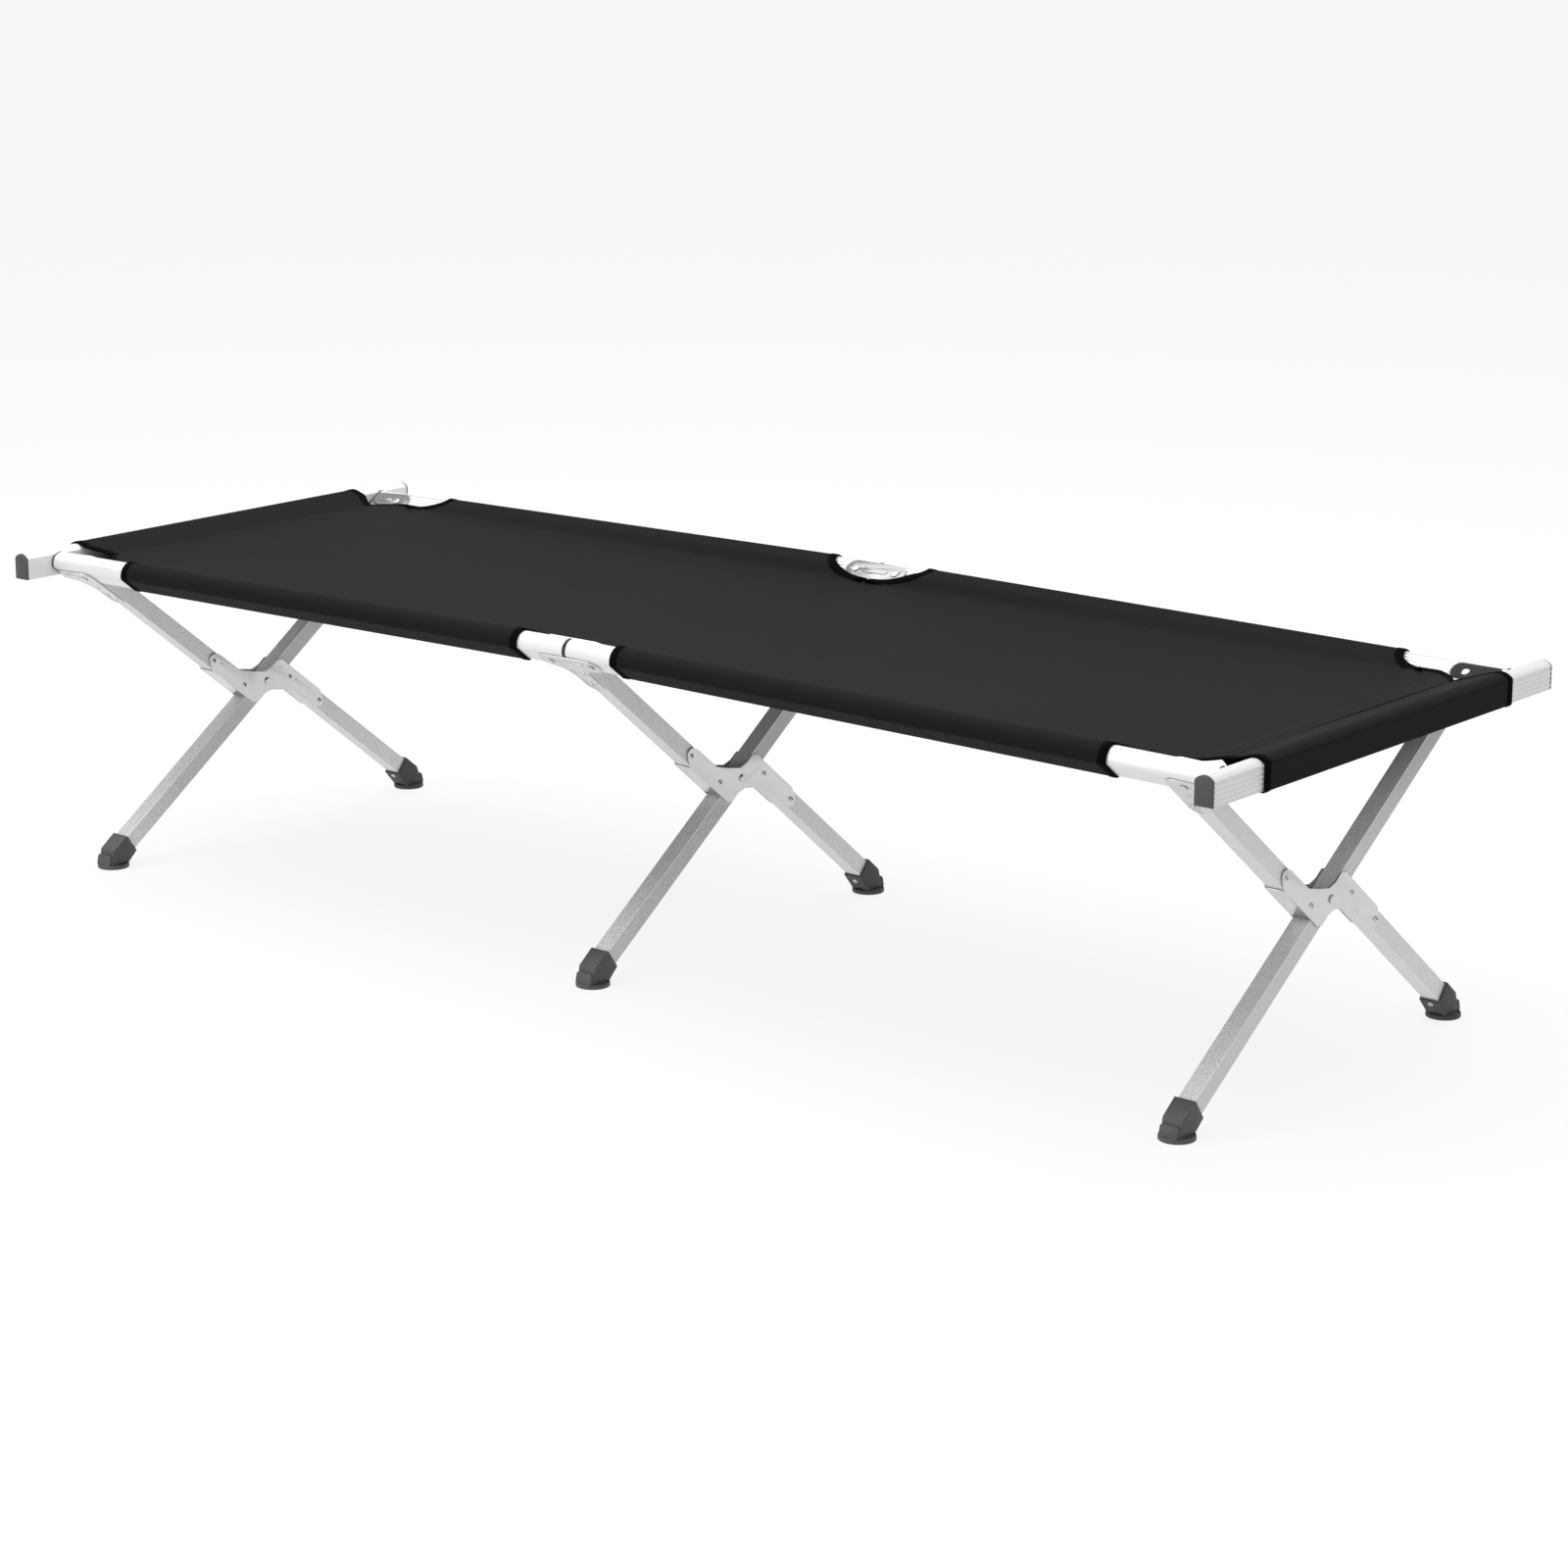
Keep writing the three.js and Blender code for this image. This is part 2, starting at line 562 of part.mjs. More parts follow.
// Sleeping panel: a thin sagging sheet between the four seams, rounded in at its corners
function panel() {
  const limitX = END_SEAM_X - FIT;
  const limitY = SEAM_Y - FIT;
  const rows = PANEL_STEPS;
  const columns = PANEL_STEPS / 2;
  const place = [];
  for (const level of [CLOTH / 2, -CLOTH / 2]) {
    for (let i = 0; i <= rows; i += 1) {
      const u = Math.sin((Math.PI / 2) * ((2 * i) / rows - 1));
      const x = u * limitX;
      const past = Math.max(0, Math.abs(x) - SLEEVE_TO) / (limitX - SLEEVE_TO);
      const reach = limitY - PANEL_CORNER * past ** 2;
      for (let j = 0; j <= columns; j += 1) {
        const v = (2 * j) / columns - 1;
        const rim = SEAM_Z + (END_SEAM_Z - SEAM_Z) * Math.abs(u) ** 6;
        const sag = PANEL_SAG * (1 - u ** 4) * (1 - v ** 2);
        place.push(x, v * reach, rim - sag + level);
      }
    }
  }
  const stride = columns + 1;
  const under = (rows + 1) * stride;
  const index = [];
  for (let i = 0; i < rows; i += 1) {
    for (let j = 0; j < columns; j += 1) {
      const a = i * stride + j;
      const b = a + stride;
      index.push(a, b, b + 1, a, b + 1, a + 1);
      index.push(under + a, under + b + 1, under + b, under + a, under + a + 1, under + b + 1);
    }
  }
  const wall = (a, b) => index.push(a, under + a, under + b, a, under + b, b);
  for (let i = 0; i < rows; i += 1) {
    wall(i * stride, (i + 1) * stride);
    wall((i + 1) * stride + columns, i * stride + columns);
  }
  for (let j = 0; j < columns; j += 1) {
    wall(j + 1, j);
    wall(rows * stride + j, rows * stride + j + 1);
  }
  const geometry = new THREE.BufferGeometry();
  geometry.setAttribute('position', new THREE.Float32BufferAttribute(place, 3));
  geometry.setIndex(index);
  return geometry;
}

// Assembly
function addRails(add, side) {
  for (const half of Object.keys(HALVES)) {
    add(`${side}_rail_${half}`, rail(side, half), ALUMINIUM);
    add(`${side}_rail_${half}_end_plug`, endPlug(side, half), BLACK_PLASTIC);
    add(`${side}_rail_${half}_hinge_plug`, hingePlug(side, half), BLACK_PLASTIC);
    add(`${side}_hinge_pin_${half}`, railPin(side, half, HINGE_PIN_X), STEEL);
    add(`${side}_bracket_pin_${half}`, railPin(side, half, SET_X + END_PIN_OUT), STEEL);
    add(`${side}_sleeve_${half}`, sideSleeve(side, half), CLOTH_BLACK);
  }
}

function addLegSet(add, set) {
  const x = SETS[set];
  add(`rear_frame_leg_${set}`, rearFrameLeg(x), ALUMINIUM);
  add(`front_frame_upper_leg_${set}`, frontFrameUpperLeg(x), ALUMINIUM);
  add(`front_frame_lower_leg_${set}`, frontFrameLowerLeg(x), ALUMINIUM);
  add(`hub_bracket_${set}`, hubBracket(x), STEEL);
  add(`hub_pin_${set}`, hubPin(x), STEEL);
  for (const side of Object.keys(SIDES)) {
    add(`${side}_foot_${set}`, foot(side, x), DARK_PLASTIC);
    add(`${side}_leg_bracket_${set}`, legTopBracket(side, set), STEEL);
  }
}

function addEndBar(add, half) {
  add(`end_bar_${half}`, endBar(half), ALUMINIUM);
  for (const side of Object.keys(SIDES)) {
    add(`end_cap_${half}_${side}`, endCap(half, side), GREY_PLASTIC);
  }
  add(`end_sleeve_${half}`, endSleeve(half), CLOTH_BLACK);
}

function build() {
  const group = new THREE.Group();
  group.name = 'folding_cot';
  const add = (name, geometry, material) => {
    const mesh = new THREE.Mesh(geometry, material);
    mesh.name = name;
    group.add(mesh);
  };
  Object.keys(SIDES).forEach((side) => addRails(add, side));
  Object.keys(SETS).forEach((set) => addLegSet(add, set));
  Object.keys(HALVES).forEach((half) => addEndBar(add, half));
  add('sleeping_panel', panel(), CLOTH_BLACK);
  return group;
}

export default build();
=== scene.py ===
"""Folding camp cot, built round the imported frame. Metres, +X along the length, +Y to the rear, +Z up."""

import json
import math

import bmesh
import bpy
import numpy as np
from mathutils import Matrix, Vector


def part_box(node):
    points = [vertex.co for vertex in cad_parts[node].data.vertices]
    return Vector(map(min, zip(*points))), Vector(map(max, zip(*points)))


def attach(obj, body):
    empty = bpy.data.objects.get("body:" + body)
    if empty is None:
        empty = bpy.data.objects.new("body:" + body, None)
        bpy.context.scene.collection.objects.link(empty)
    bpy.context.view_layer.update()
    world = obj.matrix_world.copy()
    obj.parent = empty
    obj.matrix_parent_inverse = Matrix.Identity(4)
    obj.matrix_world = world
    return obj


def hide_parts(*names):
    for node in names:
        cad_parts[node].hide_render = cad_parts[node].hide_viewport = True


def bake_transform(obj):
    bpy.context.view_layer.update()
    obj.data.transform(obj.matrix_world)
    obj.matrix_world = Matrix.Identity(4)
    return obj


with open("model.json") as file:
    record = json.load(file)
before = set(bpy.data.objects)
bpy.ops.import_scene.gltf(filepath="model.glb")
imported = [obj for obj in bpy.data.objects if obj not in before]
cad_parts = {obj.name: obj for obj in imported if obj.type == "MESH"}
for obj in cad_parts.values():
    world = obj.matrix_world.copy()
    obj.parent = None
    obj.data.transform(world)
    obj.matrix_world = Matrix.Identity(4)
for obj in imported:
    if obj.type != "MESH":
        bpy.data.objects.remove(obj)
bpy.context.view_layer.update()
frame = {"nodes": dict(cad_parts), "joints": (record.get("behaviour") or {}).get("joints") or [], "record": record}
nodes = frame["nodes"]

# Lines and levels taken from the frame
HUB_Z = frame["joints"][0]["pos_m"][2]
SIDES = {"front": -1, "rear": 1}
HALVES = {"left": -1, "right": 1}
SET_X = sum(corner.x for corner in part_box("hub_pin_right")) / 2
SETS = {"left": -SET_X, "centre": 0.0, "right": SET_X}
BAR_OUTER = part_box("end_bar_right")[1].x
BAR_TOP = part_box("end_bar_right")[1].z
BAR_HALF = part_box("end_bar_right")[1].y
RAIL_IN, RAIL_OUT = (corner.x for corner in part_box("front_rail_right"))
PEG_Z = 0.4577
RAIL_Y = 0.3294
RAIL_RISE = 0.010
HUB_OFFSET = {"front": 0.0276, "rear": 0.0015}
X_AXIS = Vector((1, 0, 0))
Z_AXIS = Vector((0, 0, 1))

# Dome-topped extrusion of the rails and end bars
PROFILE_WIDTH = 0.0266
PROFILE_SIDE = 0.031
PROFILE_RISE = 0.007
PROFILE_HEIGHT = PROFILE_SIDE + PROFILE_RISE
PROFILE_WALL = 0.0016
PROFILE_RIBS = 5
DOME_CUTS = 17
DIE_LINE = 0.0005

# Square leg tube
LEG = 0.0254
LEG_WALL = 0.0015
LEG_CORNER = 0.0012
LEG_GROOVES = 8
GROOVE_DEPTH = 0.0009

# Brackets, rivets and the holes in the tubes
SHEET = 0.0017
RAIL_FIT = 0.0005
BRACKET_FACE = PROFILE_WIDTH / 2 + RAIL_FIT + SHEET
HUB_FACE = LEG / 2 + RAIL_FIT + SHEET
FOLD_ANCHOR = 0.0355
RIVET = 0.0037
PIN_HOLE = 0.0033
HUB_HOLE = 0.0041
PEG_HOLE = 0.0055
# The next three sizes are for a thin black plate over the rear right leg-top bracket: painted shade, for the shade
# that falls there.
SHADE_PLATE_SIZE = (0.068, 0.027, 0.0008)
SHADE_PLATE_MIDDLE = (0.024, 0.0125)
SHADE_PLATE_HOLE = 0.0062

# Boots
RIM_RADIUS = 0.0222
RIM_THICK = 0.0015
RIM_Z = 0.0049
RIM_FLAT = 0.0232
RIM_SQUEEZE = 0.983
TOE_PANEL = (0.027, 0.005, 0.0165)
TOE_PAST_BASE = 0.0165
TOE_Z = 0.0125
TOE_TILT = math.radians(14)

# Cloth
CLOTH = 0.0011
CLOTH_GAP = 0.0016
TAPE = 0.011
BAY_LIP = 0.0065
TAPE_THICK = 0.0008
SEAM_Y = 0.292
SEAM_Z = 0.4635
END_SEAM_X = 0.980
END_SEAM_Z = 0.465
SLEEVE_FROM = 0.084
SLEEVE_TO = 0.868
END_SLEEVE_Y = 0.285
SAG = 0.009
SIDE_HEM = 0.021
END_HEM = 0.024
CORNER_FROM = 0.935
CORNER_CUT = 0.034
CUT_OUT_REACH = {"upper": 0.044, "lower": 0.014}
CUT_OUT_LENGTH = 0.052
STITCH_PITCH = 0.0036


# ---------------------------------------------------------------- helpers

def deselect():
    if bpy.context.object and bpy.context.object.mode != "OBJECT":
        bpy.ops.object.mode_set(mode="OBJECT")
    bpy.ops.object.select_all(action="DESELECT")


def take(piece):
    deselect()
    piece.select_set(True)
    bpy.context.view_layer.objects.active = piece
    return piece


def named(name):
    piece = bpy.context.object
    piece.name = name
    piece.data.name = name
    return piece


def edit(piece):
    take(piece)
    bpy.ops.object.mode_set(mode="EDIT")


def done():
    bpy.ops.object.mode_set(mode="OBJECT")


def choose(piece, kind, test):
    """In edit mode, selects the parts of one kind whose middle (and normal) pass the test."""
    bpy.ops.mesh.select_mode(type=kind)
    bpy.ops.mesh.select_all(action="DESELECT")
    mesh = bmesh.from_edit_mesh(piece.data)
    if kind == "FACE":
        for face in mesh.faces:
            face.select_set(test(face.calc_center_median(), face.normal))
    if kind == "EDGE":
        for edge in mesh.edges:
            edge.select_set(test(edge.verts[0].co, edge.verts[1].co))
    if kind == "VERT":
        for vert in mesh.verts:
            vert.select_set(test(vert.co))
    mesh.select_flush_mode()
    bmesh.update_edit_mesh(piece.data)


def near(a, b, slack=1e-5):
    return abs(a - b) < slack


def place(piece, matrix):
    """Turns and moves a piece built at the origin, and leaves its object at the origin."""
    piece.matrix_world = matrix
    take(piece)
    bpy.ops.object.transform_apply(location=True, rotation=True, scale=True)
    return piece


def copy_of(piece, name):
    twin = piece.copy()
    twin.data = piece.data.copy()
    twin.name = name
    twin.data.name = name
    bpy.context.scene.collection.objects.link(twin)
    return twin


def remove(piece):
    bpy.data.objects.remove(piece)


def use_modifier(piece, kind, **settings):
    take(piece)
    modifier = piece.modifiers.new(kind.title(), kind)
    for key, value in settings.items():
        setattr(modifier, key, value)
    bpy.ops.object.modifier_apply(modifier=modifier.name)


def smooth(piece, degrees=32):
    take(piece)
    bpy.ops.object.shade_smooth_by_angle(angle=math.radians(degrees))


def outward(piece):
    edit(piece)
    bpy.ops.mesh.select_all(action="SELECT")
    bpy.ops.mesh.remove_doubles(threshold=1e-6)
    bpy.ops.mesh.normals_make_consistent(inside=False)
    done()


def joined(pieces, name):
    deselect()
    for piece in pieces:
        piece.select_set(True)
    bpy.context.view_layer.objects.active = pieces[0]
    bpy.ops.object.join()
    return named(name)


def dress(piece, material, body=None):
    piece.data.materials.clear()
    piece.data.materials.append(material)
    if body:
        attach(piece, body)
    return piece


def length_map(piece):
    """A map whose first value runs along local X in metres, and whose second runs across."""
    mesh = piece.data
    layer = mesh.uv_layers.get("along") or mesh.uv_layers.new(name="along")
    for loop in mesh.loops:
        co = mesh.vertices[loop.vertex_index].co
        layer.data[loop.index].uv = (co.x, co.y + co.z)


# ---------------------------------------------------------------- materials

def new_material(name, color, metallic, roughness):
    material = bpy.data.materials.new(name)
    material.use_nodes = True
    shader = material.node_tree.nodes["Principled BSDF"]
    shader.inputs["Base Color"].default_value = (*color, 1)
    shader.inputs["Metallic"].default_value = metallic
    shader.inputs["Roughness"].default_value = roughness
    return material, material.node_tree, shader


def add_node(tree, kind, **inputs):
    node = tree.nodes.new(kind)
    for key, value in inputs.items():
        node.inputs[key.replace("_", " ")].default_value = value
    return node


def spread(tree, fac, low, high):
    """Maps a 0 to 1 value to a range."""
    node = add_node(tree, "ShaderNodeMapRange", To_Min=low, To_Max=high)
    tree.links.new(fac, node.inputs["Value"])
    return node.outputs["Result"]


def tint(tree, fac, dark, light):
    node = tree.nodes.new("ShaderNodeMix")
    node.data_type = "RGBA"
    node.inputs[6].default_value = (*dark, 1)
    node.inputs[7].default_value = (*light, 1)
    tree.links.new(fac, node.inputs[0])
    return node.outputs[2]


def bump(tree, shader, height, strength, distance, after=None):
    node = add_node(tree, "ShaderNodeBump", Strength=strength, Distance=distance)
    tree.links.new(height, node.inputs["Height"])
    if after:
        tree.links.new(after, node.inputs["Normal"])
    tree.links.new(node.outputs["Normal"], shader.inputs["Normal"])
    return node.outputs["Normal"]


def drawn_aluminium():
    """Satin extrusion: fine die lines along the tube, faint cloudiness in the anodising."""
    material, tree, shader = new_material("drawn_aluminium", (0.72, 0.723, 0.73), 0.33, 0.4)
    uv = tree.nodes.new("ShaderNodeUVMap")
    uv.uv_map = "along"
    stretch = add_node(tree, "ShaderNodeMapping", Scale=(3, 2600, 1))
    tree.links.new(uv.outputs["UV"], stretch.inputs["Vector"])
    lines = add_node(tree, "ShaderNodeTexNoise", Scale=1, Detail=3, Roughness=0.6)
    tree.links.new(stretch.outputs["Vector"], lines.inputs["Vector"])
    where = tree.nodes.new("ShaderNodeTexCoord")
    clouds = add_node(tree, "ShaderNodeTexNoise", Scale=14, Detail=4, Roughness=0.55)
    tree.links.new(where.outputs["Object"], clouds.inputs["Vector"])
    tree.links.new(spread(tree, clouds.outputs["Fac"], 0.38, 0.46), shader.inputs["Roughness"])
    color = tint(tree, clouds.outputs["Fac"], (0.65, 0.654, 0.66), (0.71, 0.712, 0.716))
    tree.links.new(color, shader.inputs["Base Color"])
    bump(tree, shader, lines.outputs["Fac"], 0.12, 0.0001)
    return material


def plated_steel(name, shade):
    """Zinc-plated sheet with a fine grain and handling smudges."""
    material, tree, shader = new_material(name, (shade, shade, shade), 0.85, 0.26)
    where = tree.nodes.new("ShaderNodeTexCoord")
    smudge = add_node(tree, "ShaderNodeTexNoise", Scale=38, Detail=5, Roughness=0.6)
    tree.links.new(where.outputs["Object"], smudge.inputs["Vector"])
    tree.links.new(spread(tree, smudge.outputs["Fac"], 0.22, 0.3), shader.inputs["Roughness"])
    dull = (0.9 * shade, 0.905 * shade, 0.915 * shade)
    bright = (shade, shade, 1.005 * shade)
    color = tint(tree, smudge.outputs["Fac"], dull, bright)
    tree.links.new(color, shader.inputs["Base Color"])
    grain = add_node(tree, "ShaderNodeTexNoise", Scale=2500, Detail=1)
    tree.links.new(where.outputs["Object"], grain.inputs["Vector"])
    bump(tree, shader, grain.outputs["Fac"], 0.05, 0.00004)
    return material


def moulded_plastic(name, color, roughness):
    """Injection-moulded plastic with spark-eroded grain and slightly worn, paler high spots."""
    material, tree, shader = new_material(name, color, 0, roughness)
    where = tree.nodes.new("ShaderNodeTexCoord")
    wear = add_node(tree, "ShaderNodeTexNoise", Scale=60, Detail=4, Roughness=0.6)
    tree.links.new(where.outputs["Object"], wear.inputs["Vector"])
    dark = tuple(0.86 * c for c in color)
    light = tuple(1.16 * c for c in color)
    tree.links.new(tint(tree, wear.outputs["Fac"], dark, light), shader.inputs["Base Color"])
    low, high = roughness - 0.06, roughness + 0.08
    tree.links.new(spread(tree, wear.outputs["Fac"], low, high), shader.inputs["Roughness"])
    grain = add_node(tree, "ShaderNodeTexVoronoi", Scale=1400)
    tree.links.new(where.outputs["Object"], grain.inputs["Vector"])
    bump(tree, shader, grain.outputs["Distance"], 0.25, 0.00015)
    return material


def oxford_cloth(name, color, thread=0.0011, gloss=0.05):
    """Coated basket-weave polyester: raised threads both ways, slubs and soft creases."""
    material, tree, shader = new_material(name, color, 0, 0.66)
    shader.inputs["Specular IOR Level"].default_value = gloss
    uv = tree.nodes.new("ShaderNodeUVMap")
    uv.uv_map = "weave"
    scale = 1 / (20 * thread) * 2 * math.pi
    heights = []
    for direction in ("X", "Y"):
        wave = add_node(tree, "ShaderNodeTexWave", Scale=scale, Distortion=0.6, Detail=1, Detail_Scale=2)
        wave.bands_direction = direction
        tree.links.new(uv.outputs["UV"], wave.inputs["Vector"])
        heights.append(wave.outputs["Fac"])
    weave = tree.nodes.new("ShaderNodeMath")
    weave.operation = "MULTIPLY"
    tree.links.new(heights[0], weave.inputs[0])
    tree.links.new(heights[1], weave.inputs[1])
    where = tree.nodes.new("ShaderNodeTexCoord")
    clouds = add_node(tree, "ShaderNodeTexNoise", Scale=5, Detail=5, Roughness=0.6)
    tree.links.new(where.outputs["Object"], clouds.inputs["Vector"])
    dark = tuple(0.84 * c for c in color)
    light = tuple(1.2 * c for c in color)
    cloud_color = tint(tree, clouds.outputs["Fac"], dark, light)
    gaps = tree.nodes.new("ShaderNodeMix")
    gaps.data_type = "RGBA"
    gaps.blend_type = "MULTIPLY"
    gaps.inputs[0].default_value = 0.5
    tree.links.new(cloud_color, gaps.inputs[6])
    tree.links.new(tint(tree, weave.outputs[0], (0.55, 0.55, 0.55), (1, 1, 1)), gaps.inputs[7])
    tree.links.new(gaps.outputs[2], shader.inputs["Base Color"])
    tree.links.new(spread(tree, clouds.outputs["Fac"], 0.6, 0.72), shader.inputs["Roughness"])
    creases = add_node(tree, "ShaderNodeTexNoise", Scale=22, Detail=3, Roughness=0.5)
    tree.links.new(where.outputs["Object"], creases.inputs["Vector"])
    soft = bump(tree, shader, creases.outputs["Fac"], 0.25, 0.0012)
    bump(tree, shader, weave.outputs[0], 0.5, 0.00025, after=soft)
    return material


ALUMINIUM = drawn_aluminium()
STEEL = plated_steel("plated_steel", 0.64)
# A darker copy of the plated steel for the rear leg-top brackets and their beads: painted shade, for the shade the
# cloth casts on them.
STEEL_PAINTED_SHADE = plated_steel("plated_steel_painted_shade", 0.3)
CLOTH_MATERIAL = oxford_cloth("oxford_cloth", (0.0088, 0.0089, 0.0091))
TAPE_MATERIAL = oxford_cloth("binding_tape", (0.003, 0.003, 0.0031), 0.0007, 0.01)
THREAD_MATERIAL = moulded_plastic("sewing_thread", (0.012, 0.012, 0.0125), 0.7)
CAP_MATERIAL = moulded_plastic("cap_plastic", (0.042, 0.0425, 0.0435), 0.5)
# Front and rear boots are the same plastic; the rear copy is darker as painted shade, for the shade under the cot.
FOOT_MATERIAL = {"front": moulded_plastic("foot_plastic", (0.052, 0.053, 0.054), 0.5),
                 "rear": moulded_plastic("foot_plastic_painted_shade", (0.03, 0.0305, 0.031), 0.55)}
PLUG_MATERIAL = moulded_plastic("plug_plastic", (0.014, 0.014, 0.0145), 0.45)
# Black plastic for the plate over the rear right leg-top bracket: painted shade.
SHADE_PLATE_MATERIAL = moulded_plastic("painted_shade_plate_plastic", (0.004, 0.004, 0.0042), 0.8)


# ---------------------------------------------------------------- frame geometry

def lift(x):
    return RAIL_RISE * max(0.0, 1 - abs(x) / RAIL_OUT)


def leg_angle(side, x):
    rise = PEG_Z + lift(x) - HUB_Z
    return math.atan2(rise, RAIL_Y) + math.asin(HUB_OFFSET[side] / math.hypot(RAIL_Y, rise))


def directions(side, angle):
    """Up along a leg, and square to it toward the top and the inside."""
    s = SIDES[side]
    up = Vector((0, s * math.cos(angle), math.sin(angle)))
    out = Vector((0, -s * math.sin(angle), math.cos(angle)))
    return up, out


def basis(x_axis, y_axis, z_axis, origin):
    matrix = Matrix((x_axis, y_axis, z_axis)).transposed().to_4x4()
    matrix.translation = origin
    return matrix


ROLL = {side: leg_angle(side, SET_X) for side in SIDES}


# ---------------------------------------------------------------- extrusions

def section_plate(width, height):
    """An upright plate across X at the origin, ready to become the section of an extrusion."""
    deselect()
    bpy.ops.mesh.primitive_plane_add(size=1, rotation=(0, math.pi / 2, 0))
    piece = named("section")
    piece.scale = (height, width, 1)
    bpy.ops.object.transform_apply(location=True, rotation=True, scale=True)
    return piece


def dome_height(y, width, rise):
    radius = (width ** 2 / 4 + rise ** 2) / (2 * rise)
    return math.sqrt(radius ** 2 - y ** 2) - (radius - rise)


def push(piece, kind, test, offset):
    choose(piece, kind, test)
    bpy.ops.transform.translate(value=offset)


def ribs(piece, test, count, offset):
    """Cuts one edge of the section into a row of fine grooves."""
    choose(piece, "EDGE", test)
    mesh = bmesh.from_edit_mesh(piece.data)
    picked = [edge for edge in mesh.edges if edge.select][0]
    a, b = (vert.co.copy() for vert in picked.verts)
    steps = 4 * count
    bpy.ops.mesh.subdivide(number_cuts=steps - 1)
    sunk = [a.lerp(b, i / steps) for i in range(steps) if i % 4 in (2, 3)]
    push(piece, "VERT", lambda co: any((co - p).length < 1e-6 for p in sunk), offset)


def swept(piece, inner, length):
    """Hollows the section with a plain inner outline and draws it out along X."""
    bpy.ops.mesh.select_all(action="SELECT")
    bpy.ops.mesh.delete(type="ONLY_FACE")
    done()
    tube = joined([piece, inner], "tube")
    edit(tube)
    bpy.ops.mesh.select_mode(type="EDGE")
    bpy.ops.mesh.select_all(action="SELECT")
    bpy.ops.mesh.fill(use_beauty=False)
    bpy.ops.mesh.select_all(action="SELECT")
    bpy.ops.mesh.extrude_region_move(TRANSFORM_OT_translate={"value": (length, 0, 0)})
    bpy.ops.mesh.select_all(action="SELECT")
    bpy.ops.mesh.normals_make_consistent(inside=False)
    done()
    return tube


def dome(piece, width, height, rise, cuts):
    top = height / 2 - rise
    choose(piece, "EDGE", lambda a, b: near(a.z, top) and near(b.z, top))
    bpy.ops.mesh.subdivide(number_cuts=cuts)
    for i in range(1, cuts + 1):
        y = -width / 2 + width * i / (cuts + 1)
        up = dome_height(y, width, rise)
        push(piece, "VERT", lambda co: near(co.z, top) and near(co.y, y), (0, 0, up))


def dome_tube(length, rib_side):
    """The rail and bar extrusion along X: domed top, a die line under the dome, fine ribs on one flank."""
    shift = -PROFILE_RISE / 2
    half = PROFILE_WIDTH / 2
    inner = section_plate(PROFILE_WIDTH - 2 * PROFILE_WALL, PROFILE_SIDE - PROFILE_WALL)
    edit(inner)
    bpy.ops.transform.translate(value=(0, 0, shift + PROFILE_WALL / 2))
    dome(inner, PROFILE_WIDTH - 2 * PROFILE_WALL, PROFILE_HEIGHT, PROFILE_RISE, DOME_CUTS // 2)
    bpy.ops.mesh.select_all(action="SELECT")
    bpy.ops.mesh.delete(type="ONLY_FACE")
    done()
    piece = section_plate(PROFILE_WIDTH, PROFILE_SIDE)
    edit(piece)
    bpy.ops.transform.translate(value=(0, 0, shift))
    dome(piece, PROFILE_WIDTH, PROFILE_HEIGHT, PROFILE_RISE, DOME_CUTS)
    low = -PROFILE_HEIGHT / 2
    choose(piece, "VERT", lambda co: near(co.z, low))
    bpy.ops.mesh.bevel(offset=0.001, segments=3, affect="VERTICES")
    if rib_side:
        flank = lambda a, b: near(a.y, rib_side * half) and near(b.y, rib_side * half)
        ribs(piece, flank, PROFILE_RIBS, (0, -rib_side * GROOVE_DEPTH, 0))
    tube = swept(piece, inner, length)
    edit(tube)
    line = PROFILE_HEIGHT / 2 - PROFILE_RISE - 0.0016
    for step in (0, DIE_LINE, 2 * DIE_LINE):
        bpy.ops.mesh.select_all(action="SELECT")
        bpy.ops.mesh.bisect(plane_co=(0, 0, line + step), plane_no=(0, 0, 1))
    choose(tube, "VERT", lambda co: near(co.z, line + DIE_LINE) and near(abs(co.y), half, 5e-4))
    squeeze = 1 - DIE_LINE / half
    bpy.ops.transform.resize(value=(1, squeeze, 1), center_override=(0, 0, 0))
    done()
    length_map(tube)
    smooth(tube, 25)
    return tube


def leg_tube(length):
    """Square tube along X with rounded corners and eight fine grooves down each face."""
    half = LEG / 2
    inner = section_plate(LEG - 2 * LEG_WALL, LEG - 2 * LEG_WALL)
    edit(inner)
    bpy.ops.mesh.select_all(action="SELECT")
    bpy.ops.mesh.delete(type="ONLY_FACE")
    done()
    piece = section_plate(LEG, LEG)
    edit(piece)
    bpy.ops.mesh.select_all(action="SELECT")
    bpy.ops.mesh.bevel(offset=LEG_CORNER, segments=3, affect="VERTICES")
    for s in (-1, 1):
        upper = lambda a, b: near(a.z, s * half) and near(b.z, s * half)
        ribs(piece, upper, LEG_GROOVES, (0, 0, -s * GROOVE_DEPTH))
        flank = lambda a, b: near(a.y, s * half) and near(b.y, s * half)
        ribs(piece, flank, LEG_GROOVES, (0, -s * GROOVE_DEPTH, 0))
    tube = swept(piece, inner, length)
    length_map(tube)
    smooth(tube, 20)
    return tube


def bored(piece, centre, axis, radius, reach):
    """Drills a round hole through a piece."""
    turn = Z_AXIS.rotation_difference(axis)
    deselect()
    bpy.ops.mesh.primitive_cylinder_add(vertices=32, radius=radius, depth=reach,
                                        location=centre, rotation=turn.to_euler())
    drill = named("drill")
    use_modifier(piece, "BOOLEAN", operation="DIFFERENCE", object=drill, solver="EXACT")
    remove(drill)


